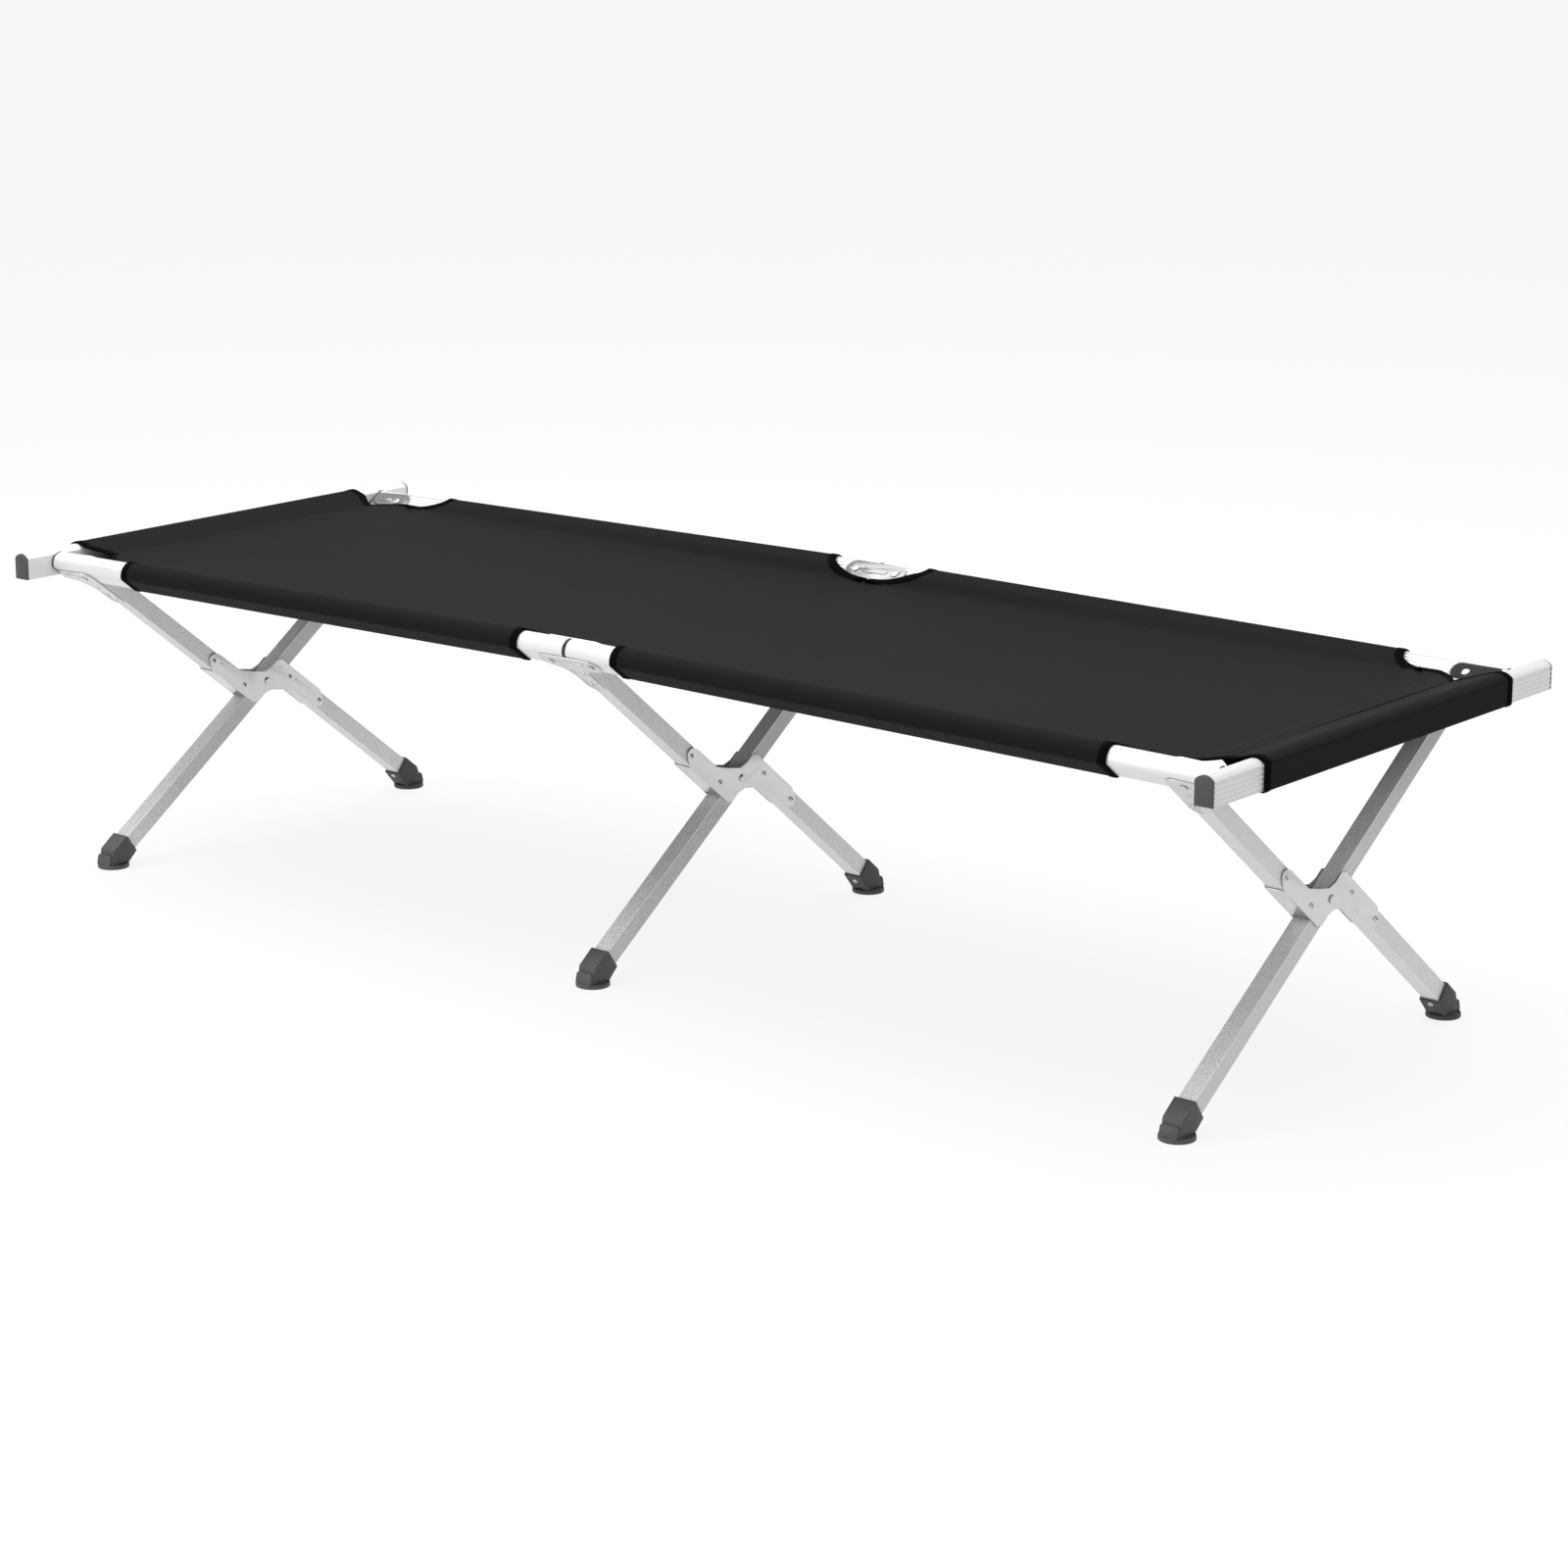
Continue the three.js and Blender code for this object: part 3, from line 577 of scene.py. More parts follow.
def make_rails():
    for side, s in SIDES.items():
        up, out = directions(side, ROLL[side])
        across = up.cross(X_AXIS)
        tube = dome_tube(RAIL_OUT - RAIL_IN, rib_side=-s)
        for half, h in HALVES.items():
            piece = copy_of(tube, f"rail_extrusion_{side}_{half}")
            start = RAIL_IN if h > 0 else -RAIL_OUT
            place(piece, basis(X_AXIS, across, up, (start, s * RAIL_Y, PEG_Z)))
            edit(piece)
            push(piece, "VERT", lambda co: near(abs(co.x), RAIL_IN, 1e-4), (0, 0, lift(RAIL_IN)))
            done()
            for pin in (f"{side}_hinge_pin_{half}", f"{side}_bracket_pin_{half}"):
                low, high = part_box(pin)
                bored(piece, (low + high) / 2, out, PIN_HOLE, 3 * PROFILE_WIDTH)
            smooth(piece, 25)
            dress(piece, ALUMINIUM, f"{side}_frame")
            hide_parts(f"{side}_rail_{half}")
        remove(tube)


def make_legs():
    for side in SIDES:
        for name, x in SETS.items():
            angle = leg_angle(side, x)
            up, out = directions(side, angle)
            across = out.cross(up)
            if side == "rear":
                spans = {f"rear_frame_leg_{name}": -1}
            else:
                spans = {f"front_frame_upper_leg_{name}": -1, f"front_frame_lower_leg_{name}": 1}
            for node, offset in spans.items():
                origin = Vector((x, 0, HUB_Z)) + out * offset * HUB_OFFSET[side]
                points = [vert.co - origin for vert in nodes[node].data.vertices]
                along = [point.dot(up) for point in points]
                piece = leg_tube(max(along) - min(along))
                piece.name = node.replace("frame_", "") + "_tube"
                place(piece, basis(up, across, out, origin + up * min(along)))
                if side == "rear":
                    bored(piece, Vector((x, 0, HUB_Z)), X_AXIS, HUB_HOLE, 3 * LEG)
                    smooth(piece, 20)
                dress(piece, ALUMINIUM, f"{side}_frame")
                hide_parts(node)


def make_end_bars():
    tube = dome_tube(2 * BAR_HALF, rib_side=-1)
    for half, h in HALVES.items():
        piece = copy_of(tube, f"end_bar_extrusion_{half}")
        middle = Vector((h * (BAR_OUTER - PROFILE_WIDTH / 2), -h * BAR_HALF, BAR_TOP - PROFILE_HEIGHT / 2))
        place(piece, basis(Vector((0, h, 0)), Vector((-h, 0, 0)), Z_AXIS, middle))
        for s in SIDES.values():
            inner_wall = Vector((h * (BAR_OUTER - PROFILE_WIDTH), s * RAIL_Y, PEG_Z))
            bored(piece, inner_wall, X_AXIS, PEG_HOLE, 0.008)
        smooth(piece, 25)
        dress(piece, ALUMINIUM, f"end_bar_{half}")
        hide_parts(f"end_bar_{half}")
    remove(tube)


# ---------------------------------------------------------------- hardware worked up from the frame

def refined(node, name, width, segments=3, angle=25, recess=0):
    """A copy of a frame part with its facets merged, its edges rounded and its curves smoothed."""
    mesh = nodes[node].data.copy()
    piece = bpy.data.objects.new(name, mesh)
    bpy.context.scene.collection.objects.link(piece)
    for layer in list(mesh.uv_layers):
        mesh.uv_layers.remove(layer)
    edit(piece)
    bpy.ops.mesh.select_all(action="SELECT")
    bpy.ops.mesh.remove_doubles(threshold=2e-6)
    bpy.ops.mesh.dissolve_limited(angle_limit=math.radians(1))
    if recess:
        bpy.ops.mesh.select_mode(type="FACE")
        bpy.ops.mesh.select_all(action="DESELECT")
        faces = bmesh.from_edit_mesh(mesh).faces
        widest = max(face.calc_area() for face in faces)
        for face in faces:
            face.select_set(len(face.verts) > 8 and face.calc_area() > 0.9 * widest)
        bmesh.update_edit_mesh(mesh)
        bpy.ops.mesh.inset(thickness=recess, depth=0)
        bpy.ops.mesh.inset(thickness=0.0004, depth=-0.0011)
    done()
    use_modifier(piece, "BEVEL", width=width, segments=segments, limit_method="ANGLE",
                 angle_limit=math.radians(angle), miter_outer="MITER_ARC", use_clamp_overlap=True)
    smooth(piece, 30)
    return piece


def body_of(node):
    for body, members in frame["record"]["behaviour"]["bodies"].items():
        if node in members:
            return body
    return None


def make_refined(pattern, width, material, segments=3, recess=0):
    for node in sorted(nodes):
        if pattern in node and not nodes[node].hide_render:
            piece = refined(node, node + "_finished", width, segments, recess=recess)
            dress(piece, material, body_of(node))
            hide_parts(node)


def rivet_head():
    """A low tubular rivet head at the origin, facing +Z."""
    deselect()
    bpy.ops.mesh.primitive_cylinder_add(vertices=20, radius=RIVET, depth=0.0012, location=(0, 0, 0.0002))
    piece = named("rivet")
    bpy.ops.object.transform_apply(location=True, rotation=True, scale=True)
    edit(piece)
    choose(piece, "FACE", lambda middle, normal: normal.z > 0.9)
    bpy.ops.mesh.inset(thickness=0.0007, depth=0.0006)
    bpy.ops.mesh.inset(thickness=0.0009, depth=0)
    bpy.ops.mesh.inset(thickness=0.0003, depth=-0.0014)
    done()
    smooth(piece, 50)
    return piece


def bead(length, width, height):
    """A pressed stiffening bead along X on the XY plane: a long low pill."""
    deselect()
    bpy.ops.mesh.primitive_cube_add(size=1, location=(0, 0, 0))
    piece = named("bead")
    piece.scale = (length, width, 2 * height)
    bpy.ops.object.transform_apply(location=True, rotation=True, scale=True)
    edit(piece)
    choose(piece, "EDGE", lambda a, b: near(a.x, b.x) and near(a.y, b.y))
    bpy.ops.mesh.bevel(offset=width / 2.02, segments=5)
    choose(piece, "EDGE", lambda a, b: near(a.z, height) and near(b.z, height))
    bpy.ops.mesh.bevel(offset=height * 0.8, segments=3)
    done()
    smooth(piece, 50)
    return piece


def hub_details():
    """Rivets on both plates of each hub bracket, and pressed beads on the inner plates of the end sets."""
    head = rivet_head()
    spots = [(along, 0.028 * math.copysign(1, along)) for along in (-0.116, -0.0385, 0.0385, 0.116)]
    beads = [(-0.0755, -0.0245, 0.053), (0.0195, 0.030, 0.021), (0.0785, 0.030, 0.055)]
    for name, x in SETS.items():
        up, out = directions("front", leg_angle("front", x))
        pieces = []
        for face in (-1, 1):
            normal = Vector((face, 0, 0))
            for along, level in spots:
                at = Vector((x + face * HUB_FACE, 0, HUB_Z)) - up * along + out * level
                rivet = copy_of(head, "rivet_copy")
                pieces.append(place(rivet, basis(up, normal.cross(up), normal, at)))
        dress(joined(pieces, f"hub_rivets_{name}"), STEEL, "front_frame")
        if x:
            face = -math.copysign(1, x)
            normal = Vector((face, 0, 0))
            pieces = []
            for along, level, length in beads:
                at = Vector((x + face * HUB_FACE, 0, HUB_Z)) - up * along + out * level
                mark = bead(length, 0.0048, 0.0009)
                pieces.append(place(mark, basis(up, normal.cross(up), normal, at)))
            dress(joined(pieces, f"hub_beads_{name}"), STEEL, "front_frame")
    remove(head)


def bracket_lines(side, x, anchor):
    """The foot of a leg-top bracket's middle line, and its upward and inward directions."""
    up, out = directions(side, (leg_angle(side, x) + ROLL[side]) / 2)
    root = Vector((x, SIDES[side] * RAIL_Y, PEG_Z + lift(anchor))) - up * PROFILE_HEIGHT / 2
    return root, up, out


def bracket_details():
    """Rivets through each leg-top bracket and a pressed pill between its pins, except under the black plate of
    painted shade on the rear right one.
    """
    head = rivet_head()
    end_spots = [(0.0055, -0.013), (0.008, -0.039), (-0.0045, -0.047)]
    for side in SIDES:
        # The rear beads take the darker steel copy: painted shade.
        material = STEEL if side == "front" else STEEL_PAINTED_SHADE
        for name, x in SETS.items():
            root, up, out = bracket_lines(side, x, FOLD_ANCHOR if name == "centre" else x)
            turn = -1 if name == "left" else 1
            rivets, marks = [], []
            for face in (-1, 1):
                normal = out * face
                for along, level in end_spots:
                    at = root + Vector((turn * along, 0, 0)) + up * level + normal * BRACKET_FACE
                    rivet = copy_of(head, "rivet_copy")
                    rivets.append(place(rivet, basis(up, normal.cross(up), normal, at)))
                length, start = (0.046, 0) if name == "centre" else (0.028, 0.036)
                at = root + Vector((turn * start, 0, 0)) + up * 0.0125 + normal * BRACKET_FACE
                # No bead on the face under the black plate of painted shade.
                if (side, name, face) != ("rear", "right", 1):
                    mark = bead(length, 0.0095, 0.0010)
                    marks.append(place(mark, basis(X_AXIS, normal.cross(X_AXIS), normal, at)))
            dress(joined(rivets, f"bracket_rivets_{side}_{name}"), STEEL, f"{side}_frame")
            dress(joined(marks, f"bracket_beads_{side}_{name}"), material, f"{side}_frame")
    remove(head)


def make_painted_shade_plate():
    """A thin black plate with rounded shoulders over the rear right leg-top bracket, holed for the pin: painted
    shade, standing for the shade that falls on that bracket.
    """
    root, up, out = bracket_lines("rear", SET_X, SET_X)
    thickness = SHADE_PLATE_SIZE[2]
    deselect()
    bpy.ops.mesh.primitive_cube_add(size=1, location=(*SHADE_PLATE_MIDDLE, thickness / 2))
    shade_plate = named("bracket_painted_shade_plate")
    shade_plate.scale = SHADE_PLATE_SIZE
    bpy.ops.object.transform_apply(location=True, rotation=True, scale=True)
    edit(shade_plate)
    choose(shade_plate, "EDGE", lambda a, b: near(a.x, b.x) and near(a.y, b.y) and a.x < 0)
    bpy.ops.mesh.bevel(offset=0.012, segments=8)
    choose(shade_plate, "EDGE", lambda a, b: near(a.z, thickness) and near(b.z, thickness))
    bpy.ops.mesh.bevel(offset=0.0003, segments=2)
    done()
    bored(shade_plate, Vector((0.0115, 0.0115, 0)), Z_AXIS, SHADE_PLATE_HOLE, 0.01)
    place(shade_plate, basis(X_AXIS, up, out, root + out * BRACKET_FACE))
    smooth(shade_plate, 40)
    dress(shade_plate, SHADE_PLATE_MATERIAL, "rear_frame")


def boot_rim(name, x, y):
    """The lip round a boot's base, its outer side pressed flatter."""
    deselect()
    bpy.ops.mesh.primitive_torus_add(major_segments=40, minor_segments=10, major_radius=RIM_RADIUS,
                                     minor_radius=RIM_THICK, location=(x, y, RIM_Z))
    rim = named(name)
    bpy.ops.object.transform_apply(location=True, rotation=True, scale=True)
    edit(rim)
    choose(rim, "VERT", lambda co: math.hypot(co.x - x, co.y - y) > RIM_FLAT)
    bpy.ops.transform.resize(value=(RIM_SQUEEZE, RIM_SQUEEZE, 1), center_override=(x, y, RIM_Z))
    done()
    smooth(rim, 60)
    return rim


def toe_panel(name, s, at):
    """A raised panel on a boot's toe, with rounded ends and a stepped face."""
    deselect()
    bpy.ops.mesh.primitive_cube_add(size=1, location=(0, 0, 0))
    panel = named(name)
    panel.scale = TOE_PANEL
    bpy.ops.object.transform_apply(location=True, rotation=True, scale=True)
    edit(panel)
    choose(panel, "EDGE", lambda a, b: near(a.x, b.x) and near(a.z, b.z))
    bpy.ops.mesh.bevel(offset=0.003, segments=4)
    choose(panel, "FACE", lambda middle, normal: normal.y < -0.9)
    bpy.ops.mesh.inset(thickness=0.0012, depth=0.0009)
    done()
    tilt = Matrix.Rotation(s * TOE_TILT, 4, "X")
    turn = Matrix.Rotation(math.pi if s > 0 else 0, 4, "Z")
    place(panel, Matrix.Translation(at) @ tilt @ turn)
    smooth(panel, 40)
    return panel


def boot_rivet(name, boot, s, x):
    """A rivet where a line from under the cot meets the inner side of a boot."""
    start = Vector((x, s * 0.20, 0.004))
    aim = (Vector((x, s * 0.29, 0.026)) - start).normalized()
    hit, at, normal, _ = boot.ray_cast(start, aim)
    if not hit:
        return None
    rivet = place(rivet_head(), basis(X_AXIS, normal.cross(X_AXIS), normal, at))
    rivet.name = name
    return rivet


def make_feet():
    """Boots with softened edges, each with a lip round the base, a toe panel and a rivet."""
    for side, s in SIDES.items():
        for name, x in SETS.items():
            node = f"{side}_foot_{name}"
            boot = refined(node, f"{node}_boot", 0.0014, 3)
            dress(boot, FOOT_MATERIAL[side], body_of(node))
            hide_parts(node)
            base = sorted(vert.co.y for vert in nodes[node].data.vertices if vert.co.z < 1e-4)
            middle = (base[0] + base[-1]) / 2
            rim = boot_rim(f"{node}_rim", x, middle)
            dress(rim, FOOT_MATERIAL[side], body_of(node))
            toe = Vector((x, s * (abs(middle) + TOE_PAST_BASE), TOE_Z))
            panel = toe_panel(f"{node}_toe", s, toe)
            dress(panel, FOOT_MATERIAL[side], body_of(node))
            rivet = boot_rivet(f"{node}_rivet", boot, s, x)
            if rivet:
                dress(rivet, STEEL, body_of(node))


# ---------------------------------------------------------------- cloth

def smoothstep(t):
    t = np.clip(t, 0, 1)
    return t * t * (3 - 2 * t)


def turns_left(a, b, c):
    return (b[0] - a[0]) * (c[1] - a[1]) - (b[1] - a[1]) * (c[0] - a[0]) > 0


def hull_side(points):
    """One side of the convex outline of points in order, without its last point."""
    kept = []
    for point in points:
        while len(kept) > 1 and not turns_left(kept[-2], kept[-1], point):
            kept.pop()
        kept.append(point)
    return kept[:-1]


def convex(points):
    """Convex outline of flat points, anticlockwise."""
    points = sorted(set((round(float(a), 7), round(float(b), 7)) for a, b in points))
    return np.array(hull_side(points) + hull_side(points[::-1]))


def wrapped_outline(offset, seam):
    """Outline of cloth drawn round the upright profile, middle at the origin, and pinched at a seam point."""
    points = [seam]
    corner = 0.0015
    half, low = PROFILE_WIDTH / 2 - corner, -PROFILE_HEIGHT / 2 + corner
    for i in range(41):
        y = -half + 2 * half * i / 40
        z = PROFILE_HEIGHT / 2 - PROFILE_RISE + dome_height(y, PROFILE_WIDTH, PROFILE_RISE) - corner
        points.extend((y + (offset + corner) * math.cos(a), z + (offset + corner) * math.sin(a))
                      for a in np.linspace(0, math.pi, 9))
    for s in (-1, 1):
        points.extend((s * half + (offset + corner) * math.cos(a), low + (offset + corner) * math.sin(a))
                      for a in np.linspace(0, 2 * math.pi, 25))
    return convex(points)


def around(outline, seam, count):
    """Even points round a closed outline, starting at the seam; also the distance run to each."""
    start = int(np.argmin(np.linalg.norm(outline - np.array(seam), axis=1)))
    ring = np.vstack([np.roll(outline, -start, axis=0), outline[start]])
    run = np.concatenate([[0], np.cumsum(np.linalg.norm(np.diff(ring, axis=0), axis=1))])
    at = np.linspace(0, run[-1], count + 1)
    return np.stack([np.interp(at, run, ring[:, k]) for k in (0, 1)], 1), at


def cloth_piece(name, grid, uv, closed=False):
    """A cloth object from a grid of points (rows, columns, 3) with its weave map."""
    rows, columns = grid.shape[:2]
    wide = columns - 1 if closed else columns
    points = grid[:, :wide].reshape(-1, 3)
    faces, maps = [], []
    for i in range(rows - 1):
        for j in range(columns - 1):
            k = (j + 1) % wide
            faces.append((i * wide + j, i * wide + k, (i + 1) * wide + k, (i + 1) * wide + j))
            maps.extend([uv[i, j], uv[i, j + 1], uv[i + 1, j + 1], uv[i + 1, j]])
    mesh = bpy.data.meshes.new(name)
    mesh.from_pydata([tuple(p) for p in points], [], faces)
    layer = mesh.uv_layers.new(name="weave")
    layer.data.foreach_set("uv", np.array(maps, np.float32).ravel())
    piece = bpy.data.objects.new(name, mesh)
    bpy.context.scene.collection.objects.link(piece)
    return piece


def thicken(piece):
    """Gives a cloth surface its thickness, half to each side."""
    use_modifier(piece, "SOLIDIFY", thickness=CLOTH, offset=0, use_even_offset=True)
    smooth(piece, 50)


def drape(piece):
    """Bakes a cloth piece's placement into its mesh and leaves its object at the origin."""
    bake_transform(piece)


def ruffle(x, y, seed):
    """Small even undulation, the same every time."""
    waves = np.sin(41 * x + 3.1 * seed) + 0.6 * np.sin(67 * x + 29 * y + seed)
    return (waves + 0.4 * np.sin(113 * x - 17 * y)) / 2


def side_sleeve(side, half, count=144):
    """Grid of the loop round one rail half: rows along X, columns round the section from the seam.

    Both ends are cut back in a curve near the seam, deeper on the upper side. The last value returned is
    how much of the binding's full width fits beside each column.
    """
    s, h = SIDES[side], HALVES[half]
    up, _ = directions(side, ROLL[side])
    across = up.cross(X_AXIS)
    seam_y, seam_z = s * (SEAM_Y - RAIL_Y), SEAM_Z - PEG_Z
    seam_point = Vector((0, seam_y, seam_z))
    seam = (seam_point.dot(across), seam_point.dot(up))
    ring, run = around(wrapped_outline(CLOTH_GAP, seam), seam, count)
    y = across.y * ring[:, 0] + up.y * ring[:, 1]
    z = across.z * ring[:, 0] + up.z * ring[:, 1]
    upper = (seam_y * z - seam_z * y) * np.sign(seam_y) > 0
    from_seam = np.minimum(run, run[-1] - run)
    start = np.where(upper, BAY_LIP, 0.0)
    reach = np.where(upper, CUT_OUT_REACH["upper"], CUT_OUT_REACH["lower"])
    share = np.clip(1 - (from_seam - start) / (reach - start), 0, 1)
    bend = 1 - np.sqrt(1 - share ** 2)
    slope = np.clip(1 - from_seam / 0.024, 0, 1)
    steps = np.linspace(0, 1, 81)
    grid = np.zeros((len(steps), count + 1, 3))
    uv = np.zeros((len(steps), count + 1, 2))
    for j in range(count + 1):
        near_end = SLEEVE_FROM - (SLEEVE_FROM - 0.003) * bend[j]
        far_end = SLEEVE_TO + CUT_OUT_LENGTH * bend[j]
        x = h * (near_end + (far_end - near_end) * steps)
        rise = RAIL_RISE * (1 - np.abs(x) / RAIL_OUT) * (1 - smoothstep(slope[j]))
        grid[:, j] = np.stack([x, np.full_like(x, s * RAIL_Y + y[j]), PEG_Z + z[j] + rise], 1)
        uv[:, j] = np.stack([x, np.full_like(x, run[j])], 1)
    tape_share = np.where(upper, 1.0, np.clip(from_seam / TAPE, 0.1, 1))
    return grid, uv, run[-1], tape_share[:-1]


def end_sleeve(half, count=96):
    """Grid of the loop round one end bar: rows along Y, columns round the section from the seam."""
    h = HALVES[half]
    middle = Vector((h * (BAR_OUTER - PROFILE_WIDTH / 2), 0, BAR_TOP - PROFILE_HEIGHT / 2))
    seam = (h * END_SEAM_X - middle.x, END_SEAM_Z - middle.z)
    ring, run = around(wrapped_outline(CLOTH_GAP, seam), seam, count)
    share = run / run[-1]
    slope = np.maximum(1 - share / 0.22, 1 - (1 - share) / 0.22).clip(0, 1)
    steps = np.linspace(-1, 1, 81)
    grid = np.zeros((len(steps), count + 1, 3))
    uv = np.zeros((len(steps), count + 1, 2))
    for j in range(count + 1):
        y = steps * (END_SLEEVE_Y + 0.003 - 0.019 * float(smoothstep(slope[j])))
        grid[:, j] = np.stack([np.full_like(y, middle.x + ring[j, 0]), y,
                               np.full_like(y, middle.z + ring[j, 1])], 1)
        uv[:, j] = np.stack([y, np.full_like(y, run[j])], 1)
    return grid, uv, run[-1], np.ones(count)


def panel_edge(x):
    """How far the sleeping panel reaches from the middle line at a place along the cot."""
    a = np.abs(x)
    beside = SEAM_Y + 0.0005
    bay = BAY_LIP * smoothstep((SLEEVE_FROM - 0.004 - a) / 0.022)
    corner = BAY_LIP * smoothstep((a - SLEEVE_TO - 0.014) / 0.024)
    turn = CORNER_CUT * np.clip((a - CORNER_FROM) / (END_SEAM_X - CORNER_FROM), 0, 1) ** 2.2
    return beside + bay + corner - turn


def panel_grid():
    """Grid of the sleeping panel: sag, small puckers at the seams, and hems of double cloth."""
    half_x = np.concatenate([np.linspace(0, 0.10, 21)[:-1], np.linspace(0.10, 0.85, 94)[:-1],
                             np.linspace(0.85, END_SEAM_X - 0.0004, 33)])
    x = np.concatenate([-half_x[::-1], half_x[1:]])
    v = np.sin(np.linspace(-1, 1, 73) * math.pi / 2) * 0.35 + np.linspace(-1, 1, 73) * 0.65
    X, V = np.meshgrid(x, v, indexing="ij")
    Y = V * panel_edge(X)
    U = X / END_SEAM_X
    rim = SEAM_Z + (END_SEAM_Z - SEAM_Z) * np.abs(U) ** 6
    sag = SAG * (1 - U ** 4) * (1 - V ** 2)
    beside = np.exp(-((1 - np.abs(V)) * SEAM_Y) / 0.045) * smoothstep((1 - np.abs(V)) * 30)
    across = np.exp(-(END_SEAM_X - np.abs(X)) / 0.05) * smoothstep((END_SEAM_X - np.abs(X)) * 90)
    pucker = 0.0007 * beside * ruffle(X, Y, 1.0) + 0.0008 * across * ruffle(Y * 1.3, X, 2.0)
    wide = 0.0006 * np.sin(7 * X + 1.3) * np.sin(9 * Y + 0.4) * (1 - V ** 2)
    hem = 0.0005 * (smoothstep((np.abs(Y) - (SEAM_Y - SIDE_HEM)) / 0.002)
                    + smoothstep((np.abs(X) - (END_SEAM_X - END_HEM)) / 0.002)).clip(0, 1)
    past = np.clip(np.abs(Y) - SEAM_Y - 0.0005, 0, None)
    Z = rim - sag + pucker + wide + hem + 0.42 * past - 0.0009 * smoothstep(past / 0.002)
    return np.stack([X, Y, Z], 2), np.stack([X, Y], 2)


def grid_normals(grid):
    normal = np.cross(np.gradient(grid, axis=0), np.gradient(grid, axis=1))
    return normal / np.maximum(np.linalg.norm(normal, axis=2, keepdims=True), 1e-12)


def tape(name, line, inward, normal, closed):
    """Binding folded over a cloth edge: a flat U swept along the edge."""
    step = CLOTH / 2 + TAPE_THICK
    section = [(TAPE, 0.35), (TAPE, 0.85), (TAPE * 0.94, 1), (TAPE * 0.5, 1.06), (0.0006, 1), (-0.0008, 0.6),
               (-0.0012, 0), (-0.0008, -0.6), (0.0006, -1), (TAPE * 0.5, -1.06), (TAPE * 0.94, -1),
               (TAPE, -0.85), (TAPE, -0.35)]
    grid = np.stack([line + inward * a + normal * (b * step) for a, b in section], 1)
    run = np.concatenate([[0], np.cumsum(np.linalg.norm(np.diff(line, axis=0), axis=1))])
    uv = np.stack([np.repeat(run[:, None], len(section), 1),
                   np.repeat(np.arange(len(section))[None] * 0.002, len(run), 0)], 2)
    if closed:
        grid = np.concatenate([grid, grid[:1]])
        uv = np.concatenate([uv, uv[:1]])
    grid = np.concatenate([grid, grid[:, :1]], 1)
    uv = np.concatenate([uv, uv[:, :1]], 1)
    piece = cloth_piece(name, grid, uv, closed=True)
    outward(piece)
    if not closed:
        edit(piece)
        bpy.ops.mesh.select_mode(type="EDGE")
        bpy.ops.mesh.select_all(action="DESELECT")
        bpy.ops.mesh.select_non_manifold(extend=False)
        bpy.ops.mesh.edge_face_add()
        done()
        outward(piece)
    smooth(piece, 50)
    return piece


def unit(vectors):
    return vectors / np.maximum(np.linalg.norm(vectors, axis=1, keepdims=True), 1e-12)


def stitches(name, points, tangents, normals):
    """A row of sewn stitches: short rounded dashes half sunk in the cloth."""
    size = np.array([0.0013, 0.00035, 0.0003])
    corners = np.array([[-1, 0, 0], [-0.6, -1, 0.7], [-0.6, 1, 0.7], [0.6, -1, 0.7], [0.6, 1, 0.7], [1, 0, 0],
                        [-0.6, 0, -1], [0.6, 0, -1]]) * size
    shape = [(0, 1, 2), (1, 3, 4, 2), (3, 5, 4), (0, 6, 1), (1, 6, 7, 3), (3, 7, 5), (5, 7, 4),
             (4, 7, 6, 2), (2, 6, 0)]
    verts, faces = [], []
    for point, along, normal in zip(points, tangents, normals):
        across = np.cross(normal, along)
        base = len(verts)
        verts.extend(tuple(point + along * a + across * b + normal * c) for a, b, c in corners)
        faces.extend(tuple(base + k for k in face) for face in shape)
    mesh = bpy.data.meshes.new(name)
    mesh.from_pydata(verts, [], faces)
    piece = bpy.data.objects.new(name, mesh)
    bpy.context.scene.collection.objects.link(piece)
    outward(piece)
    return piece


def make_cloth():
    grid, uv = panel_grid()
    panel = cloth_piece("sleeping_panel_cloth", grid, uv)
    thicken(panel)
    dress(panel, CLOTH_MATERIAL)
    trims = bind_panel(grid) + [sew_panel(grid)]
    for trim in trims:
        drape(trim)
        dress(trim, THREAD_MATERIAL if "stitch" in trim.name else TAPE_MATERIAL)
    drape(panel)
    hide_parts("sleeping_panel")


def make_sleeves():
    for side in SIDES:
        for half in HALVES:
            grid, uv, girth, tape_share = side_sleeve(side, half)
            sleeve = cloth_piece(f"side_sleeve_{side}_{half}", grid, uv, closed=True)
            finish_sleeve(sleeve, grid, tape_share, f"{side}_sleeve_{half}",
                          f"{side}_frame")
    for half in HALVES:
        grid, uv, girth, tape_share = end_sleeve(half)
        sleeve = cloth_piece(f"end_sleeve_{half}_cloth", grid, uv, closed=True)
        finish_sleeve(sleeve, grid, tape_share, f"end_sleeve_{half}", None)


def finish_sleeve(sleeve, grid, tape_share, node, body):
    outward(sleeve)
    normal = grid_normals(grid)
    centre = grid.mean(axis=(0, 1))
    if ((grid - centre) * normal).sum() < 0:
        normal = -normal
    trims = []
    for end, row, step in (("inner", 0, 1), ("outer", -1, -1)):
        line = grid[row, :-1]
        ahead = unit(grid[row + step, :-1] - line)
        tangent = unit(np.roll(line, -1, axis=0) - np.roll(line, 1, axis=0))
        inward = unit(np.cross(normal[row, :-1], tangent))
        inward *= np.sign((inward * ahead).sum()) * tape_share[:, None]
        trims.append(tape(f"{sleeve.name}_tape_{end}", line, inward, normal[row, :-1], closed=True))
    thicken(sleeve)
    for piece in [sleeve] + trims:
        dress(piece, TAPE_MATERIAL if piece in trims else CLOTH_MATERIAL, body)
        if not body:
            drape(piece)
    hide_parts(node)


